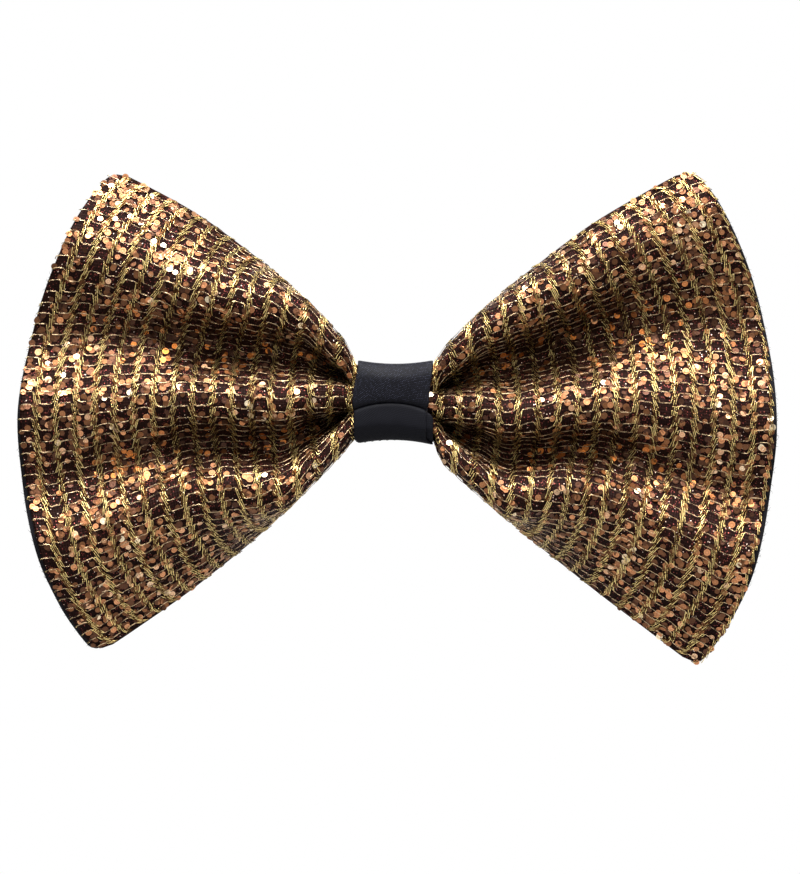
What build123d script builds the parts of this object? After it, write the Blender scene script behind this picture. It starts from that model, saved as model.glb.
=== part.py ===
from build123d import *
import math
import os

# Cheer hair bow: a pleated glitter panel pinched by a satin band, on a steel hair clip.
# Frame: X along the bow, -Y out of its front, +Z up. The origin lies on the bow's centre
# line, in the slot between the two clip arms where the hair is gripped.

os.makedirs("parts", exist_ok=True)

# ---------------------------------------------------------------- driving dimensions, mm
# Bow panel: one gathered sheet of two plies that makes both wings
FABRIC_HEIGHT = 89.0  # cut height of the panel, measured over the folds
GLITTER_T = 0.5  # glitter cloth with its bonded stiffener
BACKING_T = 0.35
PLY_GAP = 0.3  # air between two plies
PLEAT_PITCH = 29.5  # fabric taken up by one pleat
PLEAT_SHIFT = 2.2  # middle ridge above the middle of the fabric
TURN_LENGTH = 7.4  # fabric that turns the top and bottom edges backwards
WAIST_GATHER = 0.28  # share of the fabric height crushed away under the band
WAIST_TURN = 103.0  # degrees that the edges turn back at the waist
CORNER_TURN = 16.0  # degrees that they still turn back at the corners
WAIST_CRISP = 1.7  # how square the folds are at the waist (0 is a sine)
WING_CRISP = 0.7  # and out in the wings
RIDGE_LEAN = 0.24  # upward lean of the ridges out in the wings, mm per mm of depth
FLARE_LENGTH = 42.0  # over which the waist's fold settles into the wing's
CORNER_R = 2.4  # rounding of the wings' corners
PANEL_BACK = 6.4  # the folds reach no further behind their middle plane than this
BACKING_REVEAL = 0.8  # backing that shows past the glitter ply at the outer edge

# Wing outlines. reach: waist to outer edge at mid height. Each corner has its distance
# along X and Z, how bowed the edge to it is, and how full the outer edge is on its way.
LEFT_WING = dict(
    reach=68.3,
    top=dict(x=52.0, z=43.3, start=9.0, bow=1.05, fullness=1.75, drop=16.6),
    bottom=dict(x=54.0, z=-45.6, start=-7.0, bow=0.55, fullness=2.1, drop=13.7),
)
RIGHT_WING = dict(
    reach=69.4,
    top=dict(x=54.0, z=43.5, start=8.0, bow=0.6, fullness=2.2, drop=15.3),
    bottom=dict(x=56.0, z=-48.5, start=-10.0, bow=0.25, fullness=2.2, drop=13.2),
)

# Knot band: satin ribbon wound twice round the waist
BAND_WIDTH = 14.8
BAND_HEIGHT = 15.4
BAND_Z = 0.3  # middle of the waist above the clip's middle
BAND_PLY = 0.4
BAND_TURNS = 2
BAND_CORNER_R = 2.2
BAND_SAG = 0.5  # how far its top and bottom dip between the sides
BAND_CLEAR = 0.15  # between the band and what it wraps
CREASE_Z = 0.2  # fold across the front of the band
CREASE_DEPTH = 0.1  # how far the fold's bottom lies behind the band's front line
LOBE_BULGE = 0.7  # how far the two halves of its front swell past that line
LOWER_LOBE_BACK = 0.2  # the lower half swells this much less
THREAD_D = 0.4  # gathering thread
THREAD_GAP = 0.3  # between the thread and the gathered panel
THREAD_TURNS = 4
THREAD_PITCH = 2.2
THREAD_CORNER_R = 1.3

# Hair clip
CLIP_T = 0.7  # spring steel strip
CLIP_WIDTH = 9.0
CLIP_TIP_WIDTH = 6.4
CLIP_NECK_WIDTH = 7.3
NECK_TAPER = 1.0
CLIP_TIP_X = -29.5
CLIP_TAIL_X = 27.0
JAW_SLOT = 1.0  # hair slot between the band and the lower arm
JAW_BEND_R = 1.0
JAW_STEP = 3.0  # length of the bend between the teeth and the hair slot
COIL_STEP = 1.4  # length of the bend up to the coil
COIL_STEP_CLEAR = 0.8
TAIL_ANGLE = 22.0
PIVOT_X = 13.0
PIN_D = 1.5
PIN_HEAD_D = 2.4
PIN_HEAD_T = 0.5
PIN_FIT = 0.04  # pin in the upper ears
PIN_PLAY = 0.15  # pin in the lower ears
EAR_CLEAR = 0.3  # between an ear and the other arm
EAR_GAP = 0.15  # between an upper and a lower ear
EAR_FOOT = 1.0  # how much wider an ear's foot is to each side
COIL_WIRE = 0.7
COIL_TURNS = 3
COIL_TURN_GAP = 0.05
SPRING_LEG = 8.0
COIL_PLAY = 0.25  # coil round the pin
COIL_GAP = 0.15  # coil to the arms that it works against
TOOTH_PITCH = 2.0
TOOTH_DEPTH = 0.9
TOOTH_GAP = 0.3  # tooth tips to the lining, jaws shut
TEETH = 7
LINING_T = 0.45  # grosgrain ribbon glued round the upper arm
LINING_WIDTH = 9.5
LINING_TIP = 0.6  # how far the ribbon's fold passes the arm's tip
LINING_TIP_GAP = 0.05

# ---------------------------------------------------------------- sizes that follow
STACK_T = GLITTER_T + PLY_GAP + BACKING_T
BAND_T = BAND_PLY * BAND_TURNS
WAIST_HEIGHT = BAND_HEIGHT - 2 * (BAND_T + BAND_CLEAR + THREAD_D + THREAD_GAP)
WAIST_HALF = BAND_WIDTH / 2 - 0.6  # the folds are constant this far from the middle
FLARE_START = BAND_WIDTH / 2 + 1.2  # and follow the wing's outline from here
STEPS = 176  # fabric steps that a fold is worked out in
ROW_STEP = 4  # steps between two points of a spline up the panel
WING_COLUMNS = 15  # splines along a wing


def ease(v):
    """Smooth ramp from 0 to 1."""
    v = min(max(v, 0.0), 1.0)
    return v * v * (3 - 2 * v)


def mix(a, b, v):
    return a + (b - a) * v


# ---------------------------------------------------------------- the folds of the panel
def edge_height(wing, corner, x):
    """Height of the wing's top or bottom outline at a distance x from the middle."""
    c = wing[corner]
    v = (abs(x) - BAND_WIDTH / 2) / (c["x"] - BAND_WIDTH / 2)
    if v > 1:
        v = 1 + 0.15 * math.tanh((v - 1) / 0.15)
    rise = (1 - math.exp(-c["bow"] * max(v, 0))) / (1 - math.exp(-c["bow"]))
    wing_z = mix(c["start"], c["z"], rise)
    waist_z = BAND_Z + math.copysign(WAIST_HEIGHT / 2, c["z"])
    near = ease((abs(x) - WAIST_HALF) / (FLARE_START - WAIST_HALF))
    return mix(waist_z, wing_z, near)


def fold_angle(s, swing, turn, crisp, pitch, turn_length):
    """Direction of the fabric at s along its height: 0 is straight up, + leans back."""
    from_middle = s - PLEAT_SHIFT * pitch / PLEAT_PITCH
    beyond = abs(from_middle) - pitch
    if beyond > 0:
        bend = math.sin(math.pi / 2 * min(beyond / turn_length, 1))
        return math.copysign(turn * bend, from_middle)
    wave = math.sin(2 * math.pi * from_middle / pitch)
    return swing * math.tanh(crisp * wave) / math.tanh(crisp)


def fold_curve(x, swing, scale):
    """Middle line of the folded panel in a YZ plane, for one swing of its slopes."""
    out = ease((abs(x) - WAIST_HALF) / FLARE_LENGTH)
    turn = math.radians(mix(WAIST_TURN, CORNER_TURN, out))
    crisp = mix(WAIST_CRISP, WING_CRISP, ease((abs(x) - WAIST_HALF) / 14))
    lean = RIDGE_LEAN * ease((abs(x) - WAIST_HALF) / 10)
    gather = 1 - WAIST_GATHER * (1 - ease((abs(x) - WAIST_HALF) / 24))
    length = FABRIC_HEIGHT * gather * scale
    pitch = PLEAT_PITCH * gather * scale
    step = length / STEPS
    y = z = 0.0
    curve = [(y, z)]
    for i in range(STEPS):
        s = -length / 2 + (i + 0.5) * step
        a = fold_angle(s, swing, turn, crisp, pitch, TURN_LENGTH * gather * scale)
        y += math.sin(a) * step
        z += math.cos(a) * step
        curve.append((y, z))
    middle = sum(p[0] for p in curve) / len(curve)
    return [(y - middle, z - lean * (y - middle)) for y, z in curve]


def height_of(curve):
    return max(p[1] for p in curve) - min(p[1] for p in curve)


def fold_section(wing, x):
    """The folded panel's middle line at x, as tall as the wing's outline there."""
    bottom = edge_height(wing, "bottom", x) + STACK_T / 2
    height = edge_height(wing, "top", x) - STACK_T / 2 - bottom
    least = 0.3  # the fabric never lies flatter than this swing, in radians
    scale = max(1.0, height / height_of(fold_curve(x, least, 1.0)))
    low, high = least, 2.0
    for _ in range(24):
        swing = (low + high) / 2
        if height_of(fold_curve(x, swing, scale)) > height:
            low = swing
        else:
            high = swing
    curve = fold_curve(x, (low + high) / 2, scale)
    lift = bottom - min(p[1] for p in curve)
    forward = max(0.0, max(p[0] for p in curve) - PANEL_BACK)
    return [(y - forward, z + lift) for y, z in curve]


def ply_point(section, i, offset):
    """A point off the middle line, along its normal; offset + is towards the viewer."""
    before = section[max(i - 1, 0)]
    after = section[min(i + 1, len(section) - 1)]
    dy, dz = after[0] - before[0], after[1] - before[1]
    n = math.hypot(dy, dz)
    return section[i][0] - dz / n * offset, section[i][1] + dy / n * offset


def outer_x(wing, u, extra):
    """Where a row of the fabric ends, u from -1 at the bottom to 1 at the top."""
    c = wing["top"] if u > 0 else wing["bottom"]
    end = wing["reach"] - c["drop"] * abs(u) ** c["fullness"]
    corner = 2 * CORNER_R / FABRIC_HEIGHT
    v = max((abs(u) - (1 - corner)) / corner, 0)
    return end - CORNER_R * (1 - math.sqrt(max(1 - v * v, 0))) + extra


def column_shares():
    """How far along from the waist to the outer edge each column of points lies."""
    return [i / WING_COLUMNS for i in range(1, WING_COLUMNS + 1)]


def section_table(wing):
    """Sections each millimetre from the middle outwards."""
    return [fold_section(wing, x) for x in range(0, int(wing["reach"]) + 4)]


def grid_point(table, x, i, offset):
    """Point of a ply at distance x, between the two nearest sections."""
    k = min(int(x), len(table) - 2)
    a = ply_point(table[k], i, offset)
    b = ply_point(table[k + 1], i, offset)
    return mix(a[0], b[0], x - k), mix(a[1], b[1], x - k)


LEFT_TABLE = section_table(LEFT_WING)
RIGHT_TABLE = section_table(RIGHT_WING)
WAIST = fold_section(LEFT_WING, 0)
WAIST_FRONT = min(p[0] for p in WAIST) - STACK_T / 2
WAIST_BACK = max(p[0] for p in WAIST) + STACK_T / 2

# Where the layers lie behind each other, from the hair slot forwards
SLOT_Y = 0.0
BAND_BACK = SLOT_Y - JAW_SLOT / 2
ARM_BACK = BAND_BACK - BAND_T - BAND_CLEAR
ARM_FRONT = ARM_BACK - CLIP_T
LINING_FRONT = ARM_FRONT - LINING_T
PANEL_Y = LINING_FRONT - BAND_CLEAR - THREAD_D - THREAD_GAP - WAIST_BACK
BAND_FRONT = PANEL_Y + WAIST_FRONT - THREAD_GAP - THREAD_D - BAND_CLEAR - BAND_T


def row_point(wing, table, side, x, i, offset):
    """A point of the panel in the bow's own place."""
    y, z = grid_point(table, x, i, offset)
    return Vector(side * x, PANEL_Y + y, z)


def panel_columns(wing, table, side, offset, extra):
    """Splines up the panel, from next to the middle out to the wing's outer edge."""
    rows = list(range(0, STEPS, ROW_STEP)) + [STEPS]
    spread = [k / (len(rows) - 1) for k in range(len(rows))]
    columns = []
    for share in [-0.5, 0] + column_shares():
        points = []
        for i in rows:
            end = outer_x(wing, 2 * i / STEPS - 1, extra)
            x = WAIST_HALF * (1 + share) if share <= 0 else mix(WAIST_HALF, end, share)
            points.append(row_point(wing, table, side, x, i, offset))
        columns.append(Wire([Edge.make_spline(points, parameters=spread)]))
    return columns


def ply_surface(offset, extra):
    """One face of a ply, lofted from the left outer edge through the waist to the right."""
    left = panel_columns(LEFT_WING, LEFT_TABLE, -1, offset, extra)
    right = panel_columns(RIGHT_WING, RIGHT_TABLE, 1, offset, extra)
    return Shell.make_loft(left[::-1] + right).faces()[0]


def border(face, start, end):
    """The edge of a face that runs between two corners."""
    def miss(edge):
        a, b = edge @ 0, edge @ 1
        one = (a - start).length + (b - end).length
        other = (a - end).length + (b - start).length
        return min(one, other)

    return min(face.edges(), key=miss)


def ply(front_offset, back_offset, extra=0.0):
    """A ply of the panel as a closed solid between two surfaces."""
    front = ply_surface(front_offset, extra)
    back = ply_surface(back_offset, extra)

    def corners(face):
        found = [v.center() for v in face.vertices()]
        low = sorted(found, key=lambda p: p.Z)[:2]
        high = sorted(found, key=lambda p: p.Z)[2:]
        low.sort(key=lambda p: p.X)
        high.sort(key=lambda p: p.X)
        return low[0], low[1], high[1], high[0]

    a, b = corners(front), corners(back)
    sides = []
    for k in range(4):
        edge_a = border(front, a[k], a[(k + 1) % 4])
        edge_b = border(back, b[k], b[(k + 1) % 4])
        sides.append(Face.make_surface_from_curves(edge_a, edge_b))
    return Solid(Shell([front, back] + sides))


# ---------------------------------------------------------------- waist: thread and band
def waist_loop(front, back, half_height, corner):
    """Rounded box round the waist in the YZ plane, as a sketch on the X axis."""
    depth = back - front
    loop = RectangleRounded(depth, 2 * half_height, corner)
    return Plane.YZ * Pos((front + back) / 2, BAND_Z) * loop


def gathering_thread():
    """Thread wound round the gathered waist: one winding of square turns, stepping along X."""
    out = THREAD_GAP + THREAD_D / 2
    front = PANEL_Y + WAIST_FRONT - out
    back = PANEL_Y + WAIST_BACK + out
    top = BAND_Z + WAIST_HEIGHT / 2 + out
    bottom = BAND_Z - WAIST_HEIGHT / 2 - out
    corners = [(back, bottom), (front, bottom), (front, top), (back, top)]
    start = -THREAD_TURNS * THREAD_PITCH / 2
    points = [(start, back, BAND_Z)]
    for k in range(4 * THREAD_TURNS):
        y, z = corners[k % 4]
        points.append((start + (k + 0.5) * THREAD_PITCH / 4, y, z))
    points.append((-start, back, BAND_Z))
    route = FilletPolyline(*points, radius=THREAD_CORNER_R)
    section = Plane(route @ 0, z_dir=route % 0) * Circle(THREAD_D / 2)
    return sweep(section, path=route)


def band_outline(x):
    """Outer outline of the band at x: two swollen halves in front that meet in a crease."""
    end = abs(2 * x / BAND_WIDTH)
    sag = BAND_SAG * (1 - end * end)
    top = BAND_Z + BAND_HEIGHT / 2 - sag
    bottom = BAND_Z - BAND_HEIGHT / 2 + sag
    r = BAND_CORNER_R
    front, back = BAND_FRONT, BAND_BACK
    crease_y = front - CREASE_DEPTH
    swell = front - LOBE_BULGE
    crease_z = CREASE_Z + sag / 2
    with BuildSketch(Plane.YZ.offset(x)) as outline:
        with BuildLine():
            Line((back, bottom + r), (back, top - r))
            TangentArc((back, top - r), (back - r, top), tangent=(0, 1))
            Line((back - r, top), (front + r, top))
            upper = Spline(
                (front + r, top),
                (front + r * 0.25, top - r * 0.3),
                (swell, mix(crease_z, top, 0.45)),
                (crease_y, crease_z),
                tangents=((-1, 0), (1, -0.35)),
            )
            lower = Spline(
                (crease_y, crease_z),
                (swell + LOWER_LOBE_BACK, mix(crease_z, bottom, 0.4)),
                (front + r * 0.25, bottom + r * 0.3),
                (front + r, bottom),
                tangents=((-1, -0.9), (1, 0)),
            )
            Line((front + r, bottom), (back - r, bottom))
            TangentArc((back - r, bottom), (back, bottom + r), tangent=(1, 0))
        make_face()
    return outline.sketch


def knot_band():
    """Satin ribbon wound twice round the waist and the clip's upper arm."""
    stations = [BAND_WIDTH / 2 * f for f in (-1, -0.5, 0, 0.5, 1)]
    outside = loft([band_outline(x) for x in stations])
    half = BAND_HEIGHT / 2 - BAND_T
    hollow = waist_loop(BAND_FRONT + BAND_T, BAND_BACK - BAND_T, half, BAND_CORNER_R - BAND_T)
    bore = extrude(hollow, BAND_WIDTH, both=True)
    return outside - bore


# ---------------------------------------------------------------- hair clip
PIN_Y = ARM_BACK + COIL_GAP + COIL_WIRE + COIL_PLAY + PIN_D / 2
COIL_R = PIN_D / 2 + COIL_PLAY + COIL_WIRE / 2
COIL_CLEAR = COIL_R + COIL_WIRE / 2 + COIL_GAP  # from the pin's axis to either arm
EAR_R = COIL_CLEAR - EAR_CLEAR
JAW_Y = SLOT_Y + JAW_SLOT / 2
LINING_BACK = ARM_BACK + LINING_T
PIVOT = (PIVOT_X, PIN_Y)


def clip_plan(tip_x, tail_x, tip_width, neck_width=None):
    """Outline of an arm seen along Y: a round tip, a taper, and a round tail."""
    tip, wide = tip_width / 2, CLIP_WIDTH / 2
    taper_start = tip_x + tip + TEETH * TOOTH_PITCH
    taper_end = -BAND_WIDTH / 2
    neck = (neck_width or CLIP_WIDTH) / 2
    neck_from, neck_to = PIVOT_X - 2 * EAR_R, PIVOT_X + 2 * EAR_R
    side = [
        (tip_x + tip, tip),
        (taper_start, tip),
        (taper_end, wide),
        (neck_from - NECK_TAPER, wide),
        (neck_from, neck),
        (neck_to, neck),
        (neck_to + NECK_TAPER, wide),
        (tail_x - wide, wide),
    ]
    if neck == wide:
        side = side[:3] + side[-1:]
    other = [(x, -z) for x, z in reversed(side)]
    with BuildSketch(Plane.XZ) as plan:
        with BuildLine():
            Polyline(*side)
            ThreePointArc(side[-1], (tail_x, 0), other[0])
            Polyline(*other)
            ThreePointArc(other[-1], (tip_x, 0), side[0])
        make_face()
    return extrude(plan.sketch, 4 * CLIP_WIDTH, both=True)


def strip(profile_lines, thickness, width):
    """A bent strip: its side profile, thickened to the left of the line, across the clip."""
    face = make_face(offset(profile_lines, thickness, side=Side.LEFT, closed=True))
    return extrude(face, width / 2, both=True)


def ear_pair(inner_half, base_y):
    """Two lugs on an arm that carry the pin, one at each side of the coil."""
    ears = []
    for side in (-1, 1):
        z = side * (inner_half + CLIP_T / 2)
        with BuildSketch(Plane.XY.offset(z)) as ear:
            with Locations(PIVOT):
                Circle(EAR_R)
            with BuildLine():
                Polyline(
                    (PIVOT_X - EAR_R, PIN_Y),
                    (PIVOT_X + EAR_R, PIN_Y),
                    (PIVOT_X + EAR_R + EAR_FOOT, base_y),
                    (PIVOT_X - EAR_R - EAR_FOOT, base_y),
                    close=True,
                )
            make_face()
        ears.append(extrude(ear.sketch, CLIP_T / 2, both=True))
    return ears


def pin_hole(fit):
    hole = Cylinder(PIN_D / 2 + fit / 2, 3 * CLIP_WIDTH)
    return Pos(PIVOT_X, PIN_Y, 0) * hole


def clip_upper_arm():
    """The arm that the bow is bound to: flat, with the outer pair of ears."""
    plan = clip_plan(CLIP_TIP_X, CLIP_TAIL_X, CLIP_TIP_WIDTH)
    slab = Box(2 * (CLIP_TAIL_X - CLIP_TIP_X), CLIP_T, 2 * CLIP_WIDTH)
    arm = plan & (Pos(0, (ARM_BACK + ARM_FRONT) / 2, 0) * slab)
    for ear in ear_pair(CLIP_WIDTH / 2 - CLIP_T, ARM_BACK):
        arm += ear
    return arm - pin_hole(PIN_FIT)


def lower_profile():
    """Inner line of the lower arm: jaw, rise over the coil, and the tail's slope."""
    a = math.radians(TAIL_ANGLE)
    over_coil = PIN_Y + COIL_CLEAR
    bend_x = PIVOT_X - COIL_CLEAR * math.tan(a / 2)
    tail_y = over_coil + (CLIP_TAIL_X - bend_x) * math.tan(a)
    tooth_y = LINING_BACK + TOOTH_GAP + TOOTH_DEPTH
    jaw_end = -BAND_WIDTH / 2 + JAW_STEP / 3
    coil_start = PIVOT_X - COIL_CLEAR - COIL_STEP_CLEAR
    return [
        (CLIP_TIP_X, tooth_y),
        (jaw_end - JAW_STEP, tooth_y),
        (jaw_end, JAW_Y),
        (coil_start - COIL_CLEAR - COIL_STEP, JAW_Y),
        (coil_start, over_coil),
        (bend_x, over_coil),
        (CLIP_TAIL_X, tail_y),
    ]


def tooth_row(side):
    """A flange along the jaw's edge, cut into teeth that bite on the lining."""
    z = side * (CLIP_TIP_WIDTH - CLIP_T) / 2
    root_y = LINING_BACK + TOOTH_GAP + TOOTH_DEPTH
    start = CLIP_TIP_X + CLIP_TIP_WIDTH / 2
    points = [(start, root_y + CLIP_T / 2), (start, root_y)]
    for k in range(TEETH):
        points.append((start + (k + 0.5) * TOOTH_PITCH, root_y - TOOTH_DEPTH))
        points.append((start + (k + 1) * TOOTH_PITCH, root_y))
    points.append((start + TEETH * TOOTH_PITCH, root_y + CLIP_T / 2))
    with BuildSketch(Plane.XY.offset(z)) as row:
        with BuildLine():
            Polyline(*points, close=True)
        make_face()
    return extrude(row.sketch, CLIP_T / 2, both=True)


def clip_lower_arm():
    """The arm that opens: a toothed jaw, the inner ears and a sloping finger tail."""
    line = FilletPolyline(*lower_profile(), radius=JAW_BEND_R)
    band = strip(line, CLIP_T, 3 * CLIP_WIDTH)
    arm = band & clip_plan(CLIP_TIP_X, CLIP_TAIL_X, CLIP_TIP_WIDTH, CLIP_NECK_WIDTH)
    base_y = PIN_Y + COIL_CLEAR + CLIP_T / 2
    inner = CLIP_WIDTH / 2 - CLIP_T - EAR_GAP - CLIP_T
    for ear in ear_pair(inner, base_y):
        arm += ear
    for side in (-1, 1):
        arm += tooth_row(side)
    return arm - pin_hole(PIN_PLAY)


def clip_pin():
    """Hinge pin, headed over at both ends."""
    pin = Cylinder(PIN_D / 2, CLIP_WIDTH)
    for side in (-1, 1):
        pin += Pos(0, 0, side * (CLIP_WIDTH + PIN_HEAD_T) / 2) * Cylinder(
            PIN_HEAD_D / 2, PIN_HEAD_T
        )
    return Pos(PIVOT_X, PIN_Y, 0) * pin


def clip_spring():
    """Torsion spring: a coil round the pin and a leg along each arm's tail."""
    pitch = COIL_WIRE + COIL_TURN_GAP
    start_angle = 90 + TAIL_ANGLE
    turned = 360 * COIL_TURNS + 270 - start_angle
    height = pitch * turned / 360
    helix = Rot(0, 0, start_angle) * Helix(pitch=pitch, height=height, radius=COIL_R)
    wire_end = Plane(helix @ 0, z_dir=helix % 0) * Circle(COIL_WIRE / 2)
    spring = sweep(wire_end, path=helix)
    for angle, z, side in ((TAIL_ANGLE, 0, 1), (0, height, -1)):
        leg = Pos(0, side * COIL_R, z) * Rot(0, 90, 0) * Cylinder(
            COIL_WIRE / 2, SPRING_LEG, align=(Align.CENTER, Align.CENTER, Align.MIN)
        )
        spring += Rot(0, 0, angle) * leg
    return Pos(PIVOT_X, PIN_Y, -height / 2) * spring


def clip_lining():
    """Grosgrain ribbon glued round the upper arm's jaw, from the front to the slot side."""
    tip_x = CLIP_TIP_X
    inner_x = tip_x - LINING_TIP_GAP
    front_end = PIVOT_X - EAR_R
    back_end = -BAND_WIDTH / 2 - BAND_CLEAR
    with BuildSketch() as side:
        with BuildLine():
            Polyline(
                (tip_x, LINING_FRONT),
                (front_end, LINING_FRONT),
                (front_end, ARM_FRONT),
                (inner_x, ARM_FRONT),
                (inner_x, ARM_BACK),
                (back_end, ARM_BACK),
                (back_end, LINING_BACK),
                (tip_x, LINING_BACK),
            )
            ThreePointArc(
                (tip_x, LINING_BACK),
                (tip_x - LINING_TIP, (LINING_BACK + LINING_FRONT) / 2),
                (tip_x, LINING_FRONT),
            )
        make_face()
    return extrude(side.sketch, LINING_WIDTH / 2, both=True)


# ---------------------------------------------------------------- write the pieces
FRONT = STACK_T / 2
BACK = FRONT - GLITTER_T - PLY_GAP

PIECES = {
    "gathering_thread": gathering_thread,
    "knot_band": knot_band,
    "clip_lining": clip_lining,
    "clip_upper_arm": clip_upper_arm,
    "clip_lower_arm": clip_lower_arm,
    "clip_pin": clip_pin,
    "clip_spring": clip_spring,
    "glitter_panel": lambda: ply(FRONT, FRONT - GLITTER_T),
    "backing_panel": lambda: ply(BACK, BACK - BACKING_T, BACKING_REVEAL),
}

for name, make in PIECES.items():
    export_step(make(), f"parts/{name}.step")
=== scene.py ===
import math

import bmesh
import bpy
import numpy as np
from bpy.props import FloatProperty, FloatVectorProperty, IntProperty, PointerProperty
from bpy.types import Operator, Panel, PropertyGroup
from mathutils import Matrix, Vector


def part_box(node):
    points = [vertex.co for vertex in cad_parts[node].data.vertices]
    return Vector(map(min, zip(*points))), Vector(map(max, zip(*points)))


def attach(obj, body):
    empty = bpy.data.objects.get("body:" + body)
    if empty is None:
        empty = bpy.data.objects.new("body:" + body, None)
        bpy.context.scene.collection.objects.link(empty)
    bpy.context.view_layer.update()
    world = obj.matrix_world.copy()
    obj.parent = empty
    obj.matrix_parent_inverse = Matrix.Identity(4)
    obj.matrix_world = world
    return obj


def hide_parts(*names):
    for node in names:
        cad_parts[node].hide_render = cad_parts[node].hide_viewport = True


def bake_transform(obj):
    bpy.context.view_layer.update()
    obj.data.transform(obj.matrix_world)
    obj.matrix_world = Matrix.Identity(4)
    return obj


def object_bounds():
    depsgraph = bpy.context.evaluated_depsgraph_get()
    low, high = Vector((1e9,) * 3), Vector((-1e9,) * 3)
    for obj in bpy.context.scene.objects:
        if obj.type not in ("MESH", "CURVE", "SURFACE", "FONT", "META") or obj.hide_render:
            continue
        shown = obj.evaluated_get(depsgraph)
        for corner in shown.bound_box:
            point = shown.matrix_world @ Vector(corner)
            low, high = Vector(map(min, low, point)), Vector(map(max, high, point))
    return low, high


bl_info = {
    "name": "Cheer bow dressing",
    "version": (1, 0, 0),
    "blender": (4, 5, 0),
    "location": "View3D > Sidebar > Bow",
    "description": "Dresses a pleated glitter hair bow in cloth, thread, flakes, satin and steel",
    "category": "Object",
}

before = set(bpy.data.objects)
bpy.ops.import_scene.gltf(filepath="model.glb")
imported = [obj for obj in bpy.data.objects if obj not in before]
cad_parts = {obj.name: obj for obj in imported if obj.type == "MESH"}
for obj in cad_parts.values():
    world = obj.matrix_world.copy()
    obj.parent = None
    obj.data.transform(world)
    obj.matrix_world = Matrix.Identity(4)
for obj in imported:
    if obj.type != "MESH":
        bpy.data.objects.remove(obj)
CAD_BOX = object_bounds()

MM = 0.001
BOW = "bow"
JAW = "clip_jaw"

# ---------------------------------------------------------------- the bow's own sizes, mm
# the two cloths and their folds
FABRIC_HEIGHT = 89.0
GLITTER_T = 0.5
BACKING_T = 0.35
PLY_GAP = 0.3
STACK_T = GLITTER_T + PLY_GAP + BACKING_T
PLEAT_PITCH = 29.5  # cloth from ridge to ridge at the waist
PLEAT_SHIFT = 2.2  # of the middle ridge above the middle of the cloth, at the waist
SETTLED_SHIFT = 0.6  # and past it
SETTLE_LENGTH = 26.0
TURN_LENGTH = 7.4  # of cloth over which an edge bends back
WAIST_GATHER = 0.28  # share of the cloth that small gathers take up at the waist
GATHER_LENGTH = 24
WAIST_TURN = 103.0  # degrees that the edges turn back at the waist
CORNER_TURN = 28.0  # and at the corners
FLARE_LENGTH = 42.0  # from the waist to where the edges lie as at the corners
WAIST_CRISP = 1.7  # how sharply the folds change slope at the waist
WING_CRISP = 1.3  # and in the wings
CRISP_LENGTH = 14
RIDGE_LEAN = -0.06  # mm up for each mm to the front
LEAN_LENGTH = 10
LEAST_SWING = (0.58, 0.38)  # radians of the flattest slopes, near the waist and far from it
LEAST_FROM = 44
LEAST_LENGTH = 25
MOST_SWING = 2.0
FOLD_SHADE_FADE = 0.85  # how much the painted shade in the valleys fades at the wings' ends
FOLD_SHADE_FADE_FROM = 44
FOLD_SHADE_FADE_LENGTH = 26
PAST_CORNER = 0.15  # how far an outline still climbs past its corner, as a share of its way
CORNER_R = 2.4
PANEL_BACK = 6.4  # the folds reach no further back in the knot and beside the clip
CLIP_ROOM = 6.6  # half the height of the room for the clip
CLIP_ROOM_LENGTH = 22
STEPS = 176  # along the line of a folded section
STRAND_SIDES = 5
# texture maps, gold threads and flakes
MAP_WIDTH = 160  # mm of cloth across a texture map
MAP_HALF = 0.48  # of the map that each face takes up
MAP_MARGIN = 0.01  # below it
GOLD_LIFT = 0.38  # of the gold threads off the cloth
GOLD_WAVE = 0.07
GOLD_MARGIN = 0.25  # how far from the cut edge the threads end
FLAKE_SIDES = 10
FLAKE_MARGIN = 0.4
# the knot's ribbon, its stitches and the thread round the waist
BAND_WIDTH = 14.8
BAND_HEIGHT = 15.4
BAND_Z = 0.3
BAND_PLY = 0.4
BAND_CORNER_R = 2.2
BAND_SAG = 0.5
BAND_CLEAR = 0.15
RIM_SOFT = 0.12  # how much the ribbon thins at its rims, on each face
RIM_SHARE = 0.02  # within this share of its width
CREASE_Z = 0.2
LOBE_BULGE = 0.7
STITCH_R = 0.11
STITCH_ARCH = 0.08
THREAD_D = 0.4
THREAD_GAP = 0.3
THREAD_TURNS = 4
THREAD_PITCH = 2.2
THREAD_CORNER_R = 1.3
# the clip
CLIP_T = 0.7
JAW_SLOT = 1.0
TAIL_ANGLE = 22.0
TAIL_R = 4.5  # at the corners of the jaw's tail
RIBS = 4  # raised ones for the finger
RIB_INSET = 3.2  # of the first from the tail's end
RIB_STEP = 1.7
RIB_SUNK = 0.12
RIB_R = 0.3
RIB_HALF = 3.2  # half the length of the longest
RIB_MARGIN = 0.9
PIN_R = 0.75
COIL_WIRE = 0.7
COIL_PLAY = 0.25
COIL_TURN_GAP = 0.05
COIL_TURNS = 3
SPRING_LEG = 8.0
LINING_T = 0.45
# the wings' outlines: x and z of each corner, and start at the knot; bow is how much the line
# between them bulges; fullness and drop shape the outer edge; pitches are the cloth from ridge
# to ridge below and above the middle
LEFT_OUTLINE = dict(
    side=-1,
    reach=68.8,
    pitches=(22.0, 26.5),
    top=dict(x=52.0, z=43.7, start=9.0, bow=1.0, fullness=1.8, drop=17.1),
    bottom=dict(x=54.0, z=-45.9, start=-6.3, bow=0.6, fullness=1.95, drop=14.1),
)
RIGHT_OUTLINE = dict(
    side=1,
    reach=69.4,
    pitches=(22.0, 34.0),
    top=dict(x=54.0, z=43.5, start=8.0, bow=0.8, fullness=2.2, drop=15.2),
    bottom=dict(x=56.0, z=-49.0, start=-9.2, bow=0.25, fullness=1.8, drop=13.5),
)
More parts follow.
